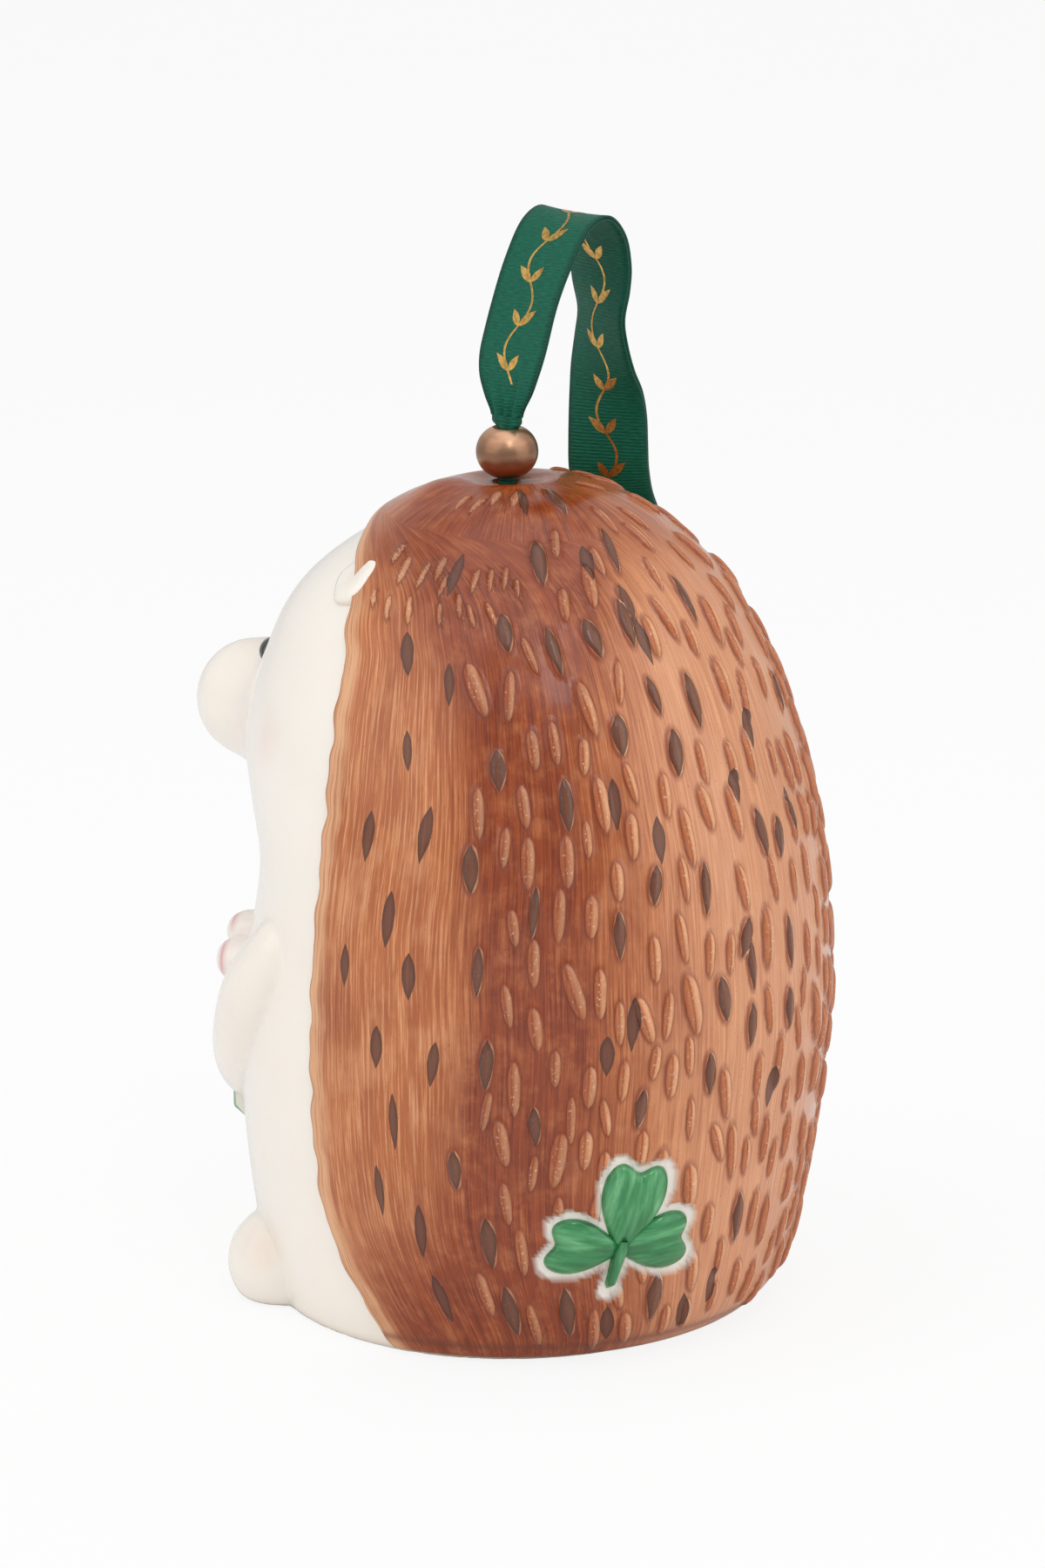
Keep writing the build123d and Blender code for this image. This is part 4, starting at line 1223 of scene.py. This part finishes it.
# %% Flower
petal_count, petal_reach, petal_radius, button_radius = 5, 3.5, 3.0, 2.2
petal_rise, button_rise = (3.1, -0.6), (4.0, 0.5)
petal_sides = 40
rings_in = np.linspace(1, 0, 16)
angle = round_turns(petal_sides)
middle, out = seat_on_bell(36.9, middle_of("flower_head")[1], 1.0)[:2]
out = unit(np.array([out[0], out[1], 0.0]))
up = np.array([0.0, 0.0, 1.0])
level = np.cross(out, up)
blossom = Patches()
for number in range(petal_count + 1):
    petal = number < petal_count
    lean = 2 * math.pi * number / petal_count + math.pi / 2
    centre = np.array([petal_reach * math.cos(lean), petal_reach * math.sin(lean)]) * petal
    size = petal_radius if petal else button_radius
    flat = centre + rings_in[:, None, None] * size * np.stack([np.cos(angle), np.sin(angle)], axis=-1)
    top, foot = petal_rise if petal else button_rise
    rise = foot + (top - foot) * np.sqrt(np.clip(1 - rings_in**2.6, 0, 1))[:, None] + 0 * angle
    from_middle = np.linalg.norm(flat, axis=-1)
    rise -= 0.5 * np.exp(-((from_middle - 2.0) / 1.4) ** 2) * petal
    points = middle + flat[..., :1] * level + flat[..., 1:] * up + rise[..., None] * out
    points = np.concatenate([points[:1] - out * 2.0, points])
    edge = np.exp(-(((rings_in - 0.8) / 0.07) ** 2))[:, None] * soft_step(4.4, 5.8, from_middle) * petal
    blossom.add(points, rows_to_faces(len(points), petal_sides, round_columns=True),
                rim_pink=np.concatenate([edge[:1], edge]).ravel(),
                button=np.full(len(points) * petal_sides, 1.0 - petal))
blossom.piece("flower", petal_glaze, "ceramic_bell", "flower_glaze", ("flower_head",))

# %% Leaves of the flower
leaf_length, leaf_half, leaf_top, leaf_spread = 8.2, 2.4, 26.5, 38.0
along = np.linspace(0, 1, 18)[:, None]
half = np.linspace(-1, 1, 11)
leaf_middle = math.atan2(13.0 / flank_reach, -1.0)
width = leaf_half * np.sin(np.pi * along**0.8) + 0.05
leaf_flat = np.stack([width * half, -leaf_length * along + 0 * half], axis=-1)
dome = 1.5 * np.sqrt(np.clip(1 - half**2, 0, 1)) * soft_step(0, 0.12, 1 - along)
rise = 0.2 + dome - 0.3 * np.exp(-(half / 0.25) ** 2)
# Painted shade down the middle groove of each leaf.
leaf_groove = (np.exp(-(half / 0.2) ** 2) * 0.3 + 0 * along).ravel()
white_edge = (0.9 * soft_step(0.5, 0.8, np.abs(half)) + 0 * along).ravel()
leaf_pair = Patches()
for lean in (-leaf_spread, leaf_spread):
    flat = turned(leaf_flat.reshape(-1, 2), lean).reshape(leaf_flat.shape)
    leaf_pair.add(on_bell(leaf_top + flat[..., 1], leaf_middle + flat[..., 0] / 32.0, rise),
                  rows_to_faces(*rise.shape),
                  groove=leaf_groove, left_white=white_edge, leaf_run=brush_run(flat))
leaf_pair.piece("flower_leaf_pair", leaf_green, "ceramic_bell", "green_glaze", ("flower_leaves",))

# %% [markdown]
# The bead is turned metal with a copper colour, drilled through, its lips softened by tumbling. A
# profile spun about the hanging line gives it. Its finish has faint rings of tool marks, and a darker
# band round its middle is painted reflection of the dark coat and ribbon about it.

# %% Copper
copper_stops = [(0.3, tone(196, 146, 114)), (0.7, tone(226, 180, 146))]
copper = mottled("copper_bead_metal", 260.0, copper_stops, (0.08, 0.0003), (1, 1, 4.0),
                 Metallic=1.0, Roughness=0.33)
# Painted reflection: a darker band round the bead's middle, where the dark coat and ribbon show in it.
copper.brush(tone(92, 62, 46), copper.times(copper.amount("dark_reflection_band"), 0.7))

# %% Bead
bead_radius, bead_half_height, bead_bore, bead_middle = 3.72, 3.0, 1.35, 103.65
bead_sides = 64
lip_turn = 1.19
swing = np.linspace(-1, 1, 36) * lip_turn
lips = [(bead_bore + 0.3, 0.12), (bead_bore, 0.5)]
profile = np.vstack([
    np.stack([bead_radius * np.cos(swing) ** 0.86,
              bead_middle + bead_half_height * np.sin(swing) / math.sin(lip_turn)], axis=1),
    [(radius, bead_middle + bead_half_height - down) for radius, down in lips],
    [(radius, bead_middle - bead_half_height + down) for radius, down in lips[::-1]],
])
points = about_hanging_line(profile[:, :1], round_turns(bead_sides), profile[:, 1:])
faces = rows_to_faces(len(profile), bead_sides, round_rows=True, round_columns=True)
bead = make_piece("copper_bead", points, faces, copper, "bead", "copper", ("top_bead",))
paint(bead, "dark_reflection_band", np.exp(-(((points[..., 2] - bead_middle - 0.2) / 1.5) ** 2)))

# %% [markdown]
# The ribbon is one strip, cut ten millimetres wide. It comes up out of the bead gathered small, opens
# out, arches over to the far side and hangs down the far flank, where it turns back and returns, so
# two layers lie together all the way. A table of stations gives the middle line, how far the ribbon is
# twisted about it and its half width. Two thin layers are swept along that one line.

# %% Route of the ribbon
ribbon_half = 5.0
ribbon_steps = 150
gathered_stations = [
    (0.0, 107.9, 0, 2.1),
    (0.0, 108.7, 1, 2.35),
    (0.0, 109.6, 3, 2.9),
    (-0.2, 110.8, 5, 3.6),
    (-0.4, 112.3, 7, 4.3),
    (-0.9, 114.0, 8, 4.8),
]
spread_stations = [
    (-1.6, 115.8, 8), (-4.0, 121.0, 8), (-6.9, 125.5, 5), (-10.4, 129.2, 2), (-14.2, 130.0, -2),
    (-17.6, 127.4, -5), (-19.2, 123.5, -10), (-19.4, 120.5, -15), (-19.4, 117.1, -24), (-19.5, 114.0, -19),
    (-19.9, 110.7, -9), (-20.7, 107.5, 4), (-21.1, 104.2, 13), (-21.2, 101.0, 16.5), (-21.4, 97.7, 18.5),
    (-22.4, 94.2, 17), (-24.6, 90.8, 13), (-27.4, 87.0, 8), (-31.6, 79.5, 2), (-33.4, 72.2, 0),
]
stations = np.array(gathered_stations + [(*station, ribbon_half) for station in spread_stations])
chords = np.concatenate([[0], np.cumsum(np.linalg.norm(np.diff(stations[:, :2], axis=0), axis=1))])
station_rows = np.column_stack([chords, stations])
steps = np.linspace(0, chords[-1], ribbon_steps)
line_x, line_z, twist, half_width = (through_rows(station_rows, steps, c) for c in (1, 2, 3, 4))
ribbon_line = np.stack([line_x, np.full(ribbon_steps, hanging_axis_y), line_z], axis=1)
along = unit(np.gradient(ribbon_line, axis=0))
straight_width = np.array([0.0, 1.0, 0.0])
straight_out = np.cross(straight_width, along)
turn = np.radians(twist)[:, None]
width_way = straight_width * np.cos(turn) + straight_out * np.sin(turn)
face_out = straight_out * np.cos(turn) - straight_width * np.sin(turn)
ribbon_length = float(np.linalg.norm(np.diff(ribbon_line, axis=0), axis=1).sum())
print("ribbon line", round(ribbon_length, 1), "mm, cut", round(2 * ribbon_length + 2, 1), "mm long")

# %% [markdown]
# Satin's threads run along the ribbon and fine ribs cross it. The finish needs to know where it is on
# the strip, so each point carries its millimetres along and to the side. The selvages are darker.

# %% Satin
satin = Finish("green_satin", Roughness=0.5, Specular_IOR_Level=0.25, Sheen_Weight=0.03,
               Sheen_Roughness=0.4, Anisotropic=0.4)
weave = satin.add("CombineXYZ", X=satin.amount("side_mm"), Y=satin.amount("along_mm")).outputs[0]
threads = satin.noise(satin.stretched(weave, (0.6, 6.0, 1.0)), 1.6, 2.0)
ribs = satin.add("TexWave", {"bands_direction": "Y"}, Vector=weave, Scale=0.75, Distortion=0.6, Detail=1.0)
satin.ground(satin.ramp(threads, (0.3, tone(0, 72, 54)), (0.6, tone(2, 100, 76)), (0.85, tone(14, 126, 98))))
# Darker selvages, and painted shade in the valleys between the neck's folds.
satin.brush(tone(3, 52, 39), satin.times(satin.amount("selvage_and_fold_shade"), 0.5))
cloth = satin.reckon("ADD", satin.times(ribs.outputs["Fac"], 0.6), satin.times(threads, 0.4), True)
satin.dented(cloth, 0.6, 0.00014)
print("made", satin.material.name)

# %% [markdown]
# Each layer is swept as an upper and a lower skin. Where the ribbon is gathered its width falls into
# pleats, and elsewhere it is cupped a little. At the far end the strip turns back on itself through half
# a circle, so the outer layer, the turn and the inner layer are one length of ribbon.

# %% Two layers of ribbon
ribbon_thick = 0.26
layer_rise = 0.19
cup_rise = 0.22
strip_side = np.linspace(-1, 1, 13)
strip_middle = len(strip_side) // 2


def ribbon_surface(off):
    """The ribbon's skin at a height off its middle line, pleated where it is gathered."""
    width = half_width[:, None]
    gather = np.clip((ribbon_half - width) / 2.8, 0, 1)
    pleat = 0.45 * gather * np.cos(3.5 * np.pi * strip_side)
    cup = cup_rise * (1 - gather) * strip_side**2
    return (ribbon_line[:, None] + width_way[:, None] * (width * strip_side)[..., None]
            + face_out[:, None] * (pleat + cup + off)[..., None])


def turn_back(radius):
    """The skin round the far end, half a circle from one layer to the other."""
    bend = np.linspace(0, np.pi, 11)[1:-1, None, None]
    centre = ribbon_line[-1] + face_out[-1] * radius * np.cos(bend) + along[-1] * radius * np.sin(bend)
    return (centre + width_way[-1] * (ribbon_half * strip_side)[:, None]
            + face_out[-1] * (cup_rise * strip_side**2)[:, None])


printed_face, plain_face = (
    np.concatenate([ribbon_surface(off), turn_back(off), ribbon_surface(-off)[::-1]])
    for off in (layer_rise + ribbon_thick / 2, layer_rise - ribbon_thick / 2)
)
strip = np.concatenate([printed_face, plain_face[:, ::-1]], axis=1)
count_rows, count_across = strip.shape[:2]
last_row = (count_rows - 1) * count_across
faces = rows_to_faces(count_rows, count_across, round_columns=True)
faces += [list(range(count_across))[::-1], list(range(last_row, last_row + count_across))]
ribbon = make_piece("satin_ribbon", strip, faces, satin, "ribbon", "satin_ribbon", ("ribbon_loop",))
middle_steps = np.linalg.norm(np.diff(printed_face[:, strip_middle], axis=0), axis=1)
strip_run = np.concatenate([[0], np.cumsum(middle_steps)])
side_both = np.concatenate([strip_side, strip_side[::-1]]) * ribbon_half
paint(ribbon, "along_mm", np.repeat(strip_run, count_across))
paint(ribbon, "side_mm", np.tile(side_both, count_rows))
paint(ribbon, "selvage_and_fold_shade", np.tile(soft_step(4.3, 4.8, np.abs(side_both)), count_rows))
print("strip length", round(float(strip_run[-1]), 1))

# %% [markdown]
# A plain running vine in gold foil decorates the ribbon: one wavy line with a small leaf at each turn,
# on the printed side only. It is thin foil, so it lies just above the satin and follows its surface.

# %% Gold foil
gold_stops = [(0.35, tone(176, 132, 66)), (0.65, tone(214, 176, 104))]
gold = mottled("gold_foil", 2200.0, gold_stops, (0.2, 0.0001), Metallic=1.0, Roughness=0.34)

# %% Places on the printed side
foil_lift = 0.035
printed_out = unit(np.cross(np.gradient(printed_face[:, strip_middle], axis=0),
                            printed_face[:, -1] - printed_face[:, 0]))
if printed_out[5] @ (printed_face[5, strip_middle] - plain_face[5, strip_middle]) < 0:
    printed_out = -printed_out


def blend(first, second, part):
    """Between two values, by a part from 0 to 1."""
    return first * (1 - part) + second * part


def on_ribbon(run_mm, side_offset):
    """Points on the printed side, by millimetres along the strip and off its middle."""
    place = np.interp(run_mm, strip_run, np.arange(len(strip_run)))
    row = np.clip(place.astype(int), 0, len(strip_run) - 2)
    column = (np.clip(side_offset / ribbon_half, -1, 1) + 1) / 2 * (len(strip_side) - 1)
    left = np.clip(column.astype(int), 0, len(strip_side) - 2)
    part, slide = (place - row)[..., None], (column - left)[..., None]
    here, there = (blend(printed_face[r, left], printed_face[r, left + 1], slide) for r in (row, row + 1))
    return blend(here, there, part) + blend(printed_out[row], printed_out[row + 1], part) * foil_lift


print("printed side", round(float(strip_run[-1]), 1), "mm long")

# %% Running vine on the ribbon
wave_length, wave_reach, line_half = 11.0, 1.25, 0.17
foil_leaf_half = 0.52
vine_start, vine_end = 4.0, float(strip_run[-1]) - 9.0
vine = Patches()


def lay_foil(run_mm, side_offset):
    """Adds one patch of foil from a grid of places on the ribbon."""
    patch = on_ribbon(run_mm, side_offset)
    vine.add(patch, rows_to_faces(*patch.shape[:2]))


run_line = np.arange(vine_start, vine_end, 0.5)
wave_line = wave_reach * np.sin(2 * np.pi * run_line / wave_length)
line_edges = np.stack([wave_line - line_half, wave_line + line_half], axis=1)
lay_foil(np.stack([run_line, run_line], axis=1), line_edges)
for number in range(int((vine_end - vine_start) / (wave_length / 2))):
    root = vine_start + 1.5 + number * wave_length / 2
    side = 1 if number % 2 else -1
    base = wave_reach * math.sin(2 * math.pi * root / wave_length)
    for lean, length in ((0.85, 3.1), (-0.55, 2.4)):
        t = np.linspace(0, 1, 9)
        half = foil_leaf_half * np.sin(np.pi * t**0.85)[:, None]
        way = np.array([math.cos(lean * side), math.sin(lean * side)])
        cross = np.array([-way[1], way[0]])
        centre = np.array([root, base]) + way * (length * t)[:, None]
        outline = np.stack([centre - half * cross, centre, centre + half * cross], axis=1)
        lay_foil(outline[..., 0], outline[..., 1])
foil = vine.piece("gold_vine", gold, "ribbon", "satin_ribbon")

# %% [markdown]
# Between the knot and the bead's top the ribbon is squeezed into a bunch of folds. It is round in the
# bore, opens to an oval above the bead, and closes just below the place where the ribbon can swing, so
# that it never cuts into the moving loop.

# %% Gathered neck of the ribbon
neck_sides = 80
fold_count = 7
neck_top = 108.0
bunch_radius = 1.0
neck_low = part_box("ribbon_neck")[0][2] / mm
bead_top = bead_middle + bead_half_height
neck_heights = np.concatenate([np.linspace(neck_low, bead_top - 0.45, 14),
                               np.linspace(bead_top - 0.3, neck_top, 12), [neck_top + 0.05]])[:, None]
opening = soft_step(bead_top - 0.5, bead_top + 0.6, neck_heights)
closing_in = np.concatenate([np.zeros(25), [0.1, 0.5]])[:, None]
angle = round_turns(neck_sides)
folds = 1 + 0.08 * opening * np.cos(fold_count * angle + 0.15 * neck_heights)
points = np.stack([(bunch_radius - 0.25 * opening - closing_in) * np.sin(angle) * folds,
                   hanging_axis_y + (bunch_radius + opening - closing_in) * np.cos(angle) * folds,
                   neck_heights + 0 * angle], axis=-1)
faces = closed_tube_faces(len(neck_heights), neck_sides)
neck = make_piece("ribbon_neck_folds", points, faces, satin, "ceramic_bell", "satin_ribbon", ("ribbon_neck",))
paint(neck, "along_mm", np.repeat(neck_heights, neck_sides))
paint(neck, "side_mm", np.tile(angle * 2, len(neck_heights)))
# Painted shade: the satin is darker in the valleys between the folds.
paint(neck, "selvage_and_fold_shade", np.tile(0.5 - 0.5 * np.cos(fold_count * angle), len(neck_heights)))

# %% [markdown]
# Inside the bell the ribbon ends in a knot under the crown, and the clapper hangs from it. These
# solids already have the right shape, so they keep it and only get their finishes.

# %% Finishes for the inside
wire_steel = mottled("bright_wire", 900.0, [(0.3, tone(150, 150, 150)), (0.7, tone(188, 188, 190))],
                     (0.1, 0.0001), (1, 1, 8.0), Metallic=1.0, Roughness=0.3)
clapper_glaze = mottled("clapper_glaze", 300.0, [(0.3, tone(240, 232, 220)), (0.7, tone(248, 242, 233))],
                        (0.05, 0.0003), Roughness=0.2, Coat_Weight=0.4, Coat_Roughness=0.1)
inside_satin = mottled("green_satin_inside", 1600.0, [(0.3, tone(6, 74, 55)), (0.7, tone(22, 112, 86))],
                       (0.4, 0.0002), (1, 1, 0.3), Roughness=0.45, Sheen_Weight=0.25)
kept = {"ribbon_knot": inside_satin, "clapper_link": wire_steel,
        "clapper_wire": wire_steel, "clapper_ball": clapper_glaze}
for node, finish in kept.items():
    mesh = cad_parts[node].data
    mesh.materials.clear()
    mesh.materials.append(finish.material)
print("kept", sorted(kept))

# %% [markdown]
# The picture is a catalogue shot: the object on white, lit softly all round. The floor glows white where
# the camera sees it, but its light on the object is that of plain pale paper, so it still shows a shadow.
# The world does the same: white to the eye and a little grey as a light.

# %% Floor
floor_half = 3
floor_finish = Finish("pale_floor", Roughness=0.9)
paper = floor_finish.noise(floor_finish.place(), 8.0, 2.0)
floor_finish.ground(floor_finish.grey(paper, (0.3, 0.90), (0.7, 0.92)))
glow = floor_finish.add("Emission", Color=(1, 1, 1, 1), Strength=1.0)
seen = floor_finish.times(floor_finish.add("LightPath").outputs["Is Camera Ray"], 0.86)
blend_white = floor_finish.add("MixShader", Fac=seen)
floor_finish.feed(blend_white.inputs[1], floor_finish.shader.outputs[0])
floor_finish.feed(blend_white.inputs[2], glow.outputs[0])
floor_finish.set(floor_finish.tree.nodes["Material Output"], Surface=blend_white.outputs[0])
floor_mesh = bpy.data.meshes.new("floor")
corners = [(x * floor_half, y * floor_half, 0) for x, y in ((-1, -1), (1, -1), (1, 1), (-1, 1))]
floor_mesh.from_pydata(corners, [], [(0, 1, 2, 3)])
floor_mesh.materials.append(floor_finish.material)
put_in_scene("floor", floor_mesh)
print("floor", 2 * floor_half, "metres wide")

# %% Backdrop
world = bpy.data.worlds.new("studio")
world.use_nodes = True
bpy.context.scene.world = world
sky = world.node_tree
sky_rays = sky.nodes.new("ShaderNodeLightPath")
sky_colour = sky.nodes.new("ShaderNodeMix")
sky_colour.data_type = "RGBA"
sky_colour.inputs[6].default_value = (0.62, 0.62, 0.625, 1)
sky_colour.inputs[7].default_value = (1, 1, 1, 1)
sky.links.new(sky_rays.outputs["Is Camera Ray"], sky_colour.inputs[0])
sky.links.new(sky_colour.outputs[2], sky.nodes["Background"].inputs["Color"])
print("backdrop is white to the eye")

# %% [markdown]
# The camera stands where the sums above put it. Four soft lamps look at the object: a broad one to the
# left, an equal one to the right and one overhead fill it evenly, and a small one above the camera draws
# the crisp highlights that show how glossy the glaze is.

# %% Camera and lamps
camera_data = bpy.data.cameras.new("camera")
camera_data.sensor_width, camera_data.lens = sensor_size, lens_length
camera_data.clip_start, camera_data.clip_end = 0.01, 50
camera = put_in_scene("camera", camera_data)
bpy.context.scene.camera = camera
overhead = np.array([0.0, 0.0, 1.0])


def look(thing, place, way):
    """Puts a camera or a lamp at a place, looking a way."""
    thing.location = Vector(place)
    thing.rotation_mode = "QUATERNION"
    thing.rotation_quaternion = Vector(way).to_track_quat("-Z", "Y")


def soft_lamp(name, offset, width, height, power):
    """A soft rectangular lamp that looks at the object."""
    lamp = bpy.data.lights.new(name, "AREA")
    lamp.shape, lamp.size, lamp.size_y, lamp.energy = "RECTANGLE", width, height, power
    look(put_in_scene(name, lamp), aim * mm + offset, -offset)


look(camera, eye_place * mm, -back_way)
for name, (back, aside, above), (width, height), power in (
    ("left_softbox", (0.35, -0.62, 0.30), (0.8, 0.9), 1.45),
    ("small_softbox", (0.55, 0.12, 0.42), (0.14, 0.3), 0.55),
    ("right_softbox", (0.35, 0.62, 0.15), (0.7, 0.9), 1.6),
    ("top_softbox", (0.1, 0.0, 0.75), (0.8, 0.8), 1.4),
):
    soft_lamp(name, back_way * back + right_way * aside + overhead * above, width, height, power)
bpy.context.scene.view_settings.view_transform = "Standard"
print("camera at", [round(v, 3) for v in camera.location])
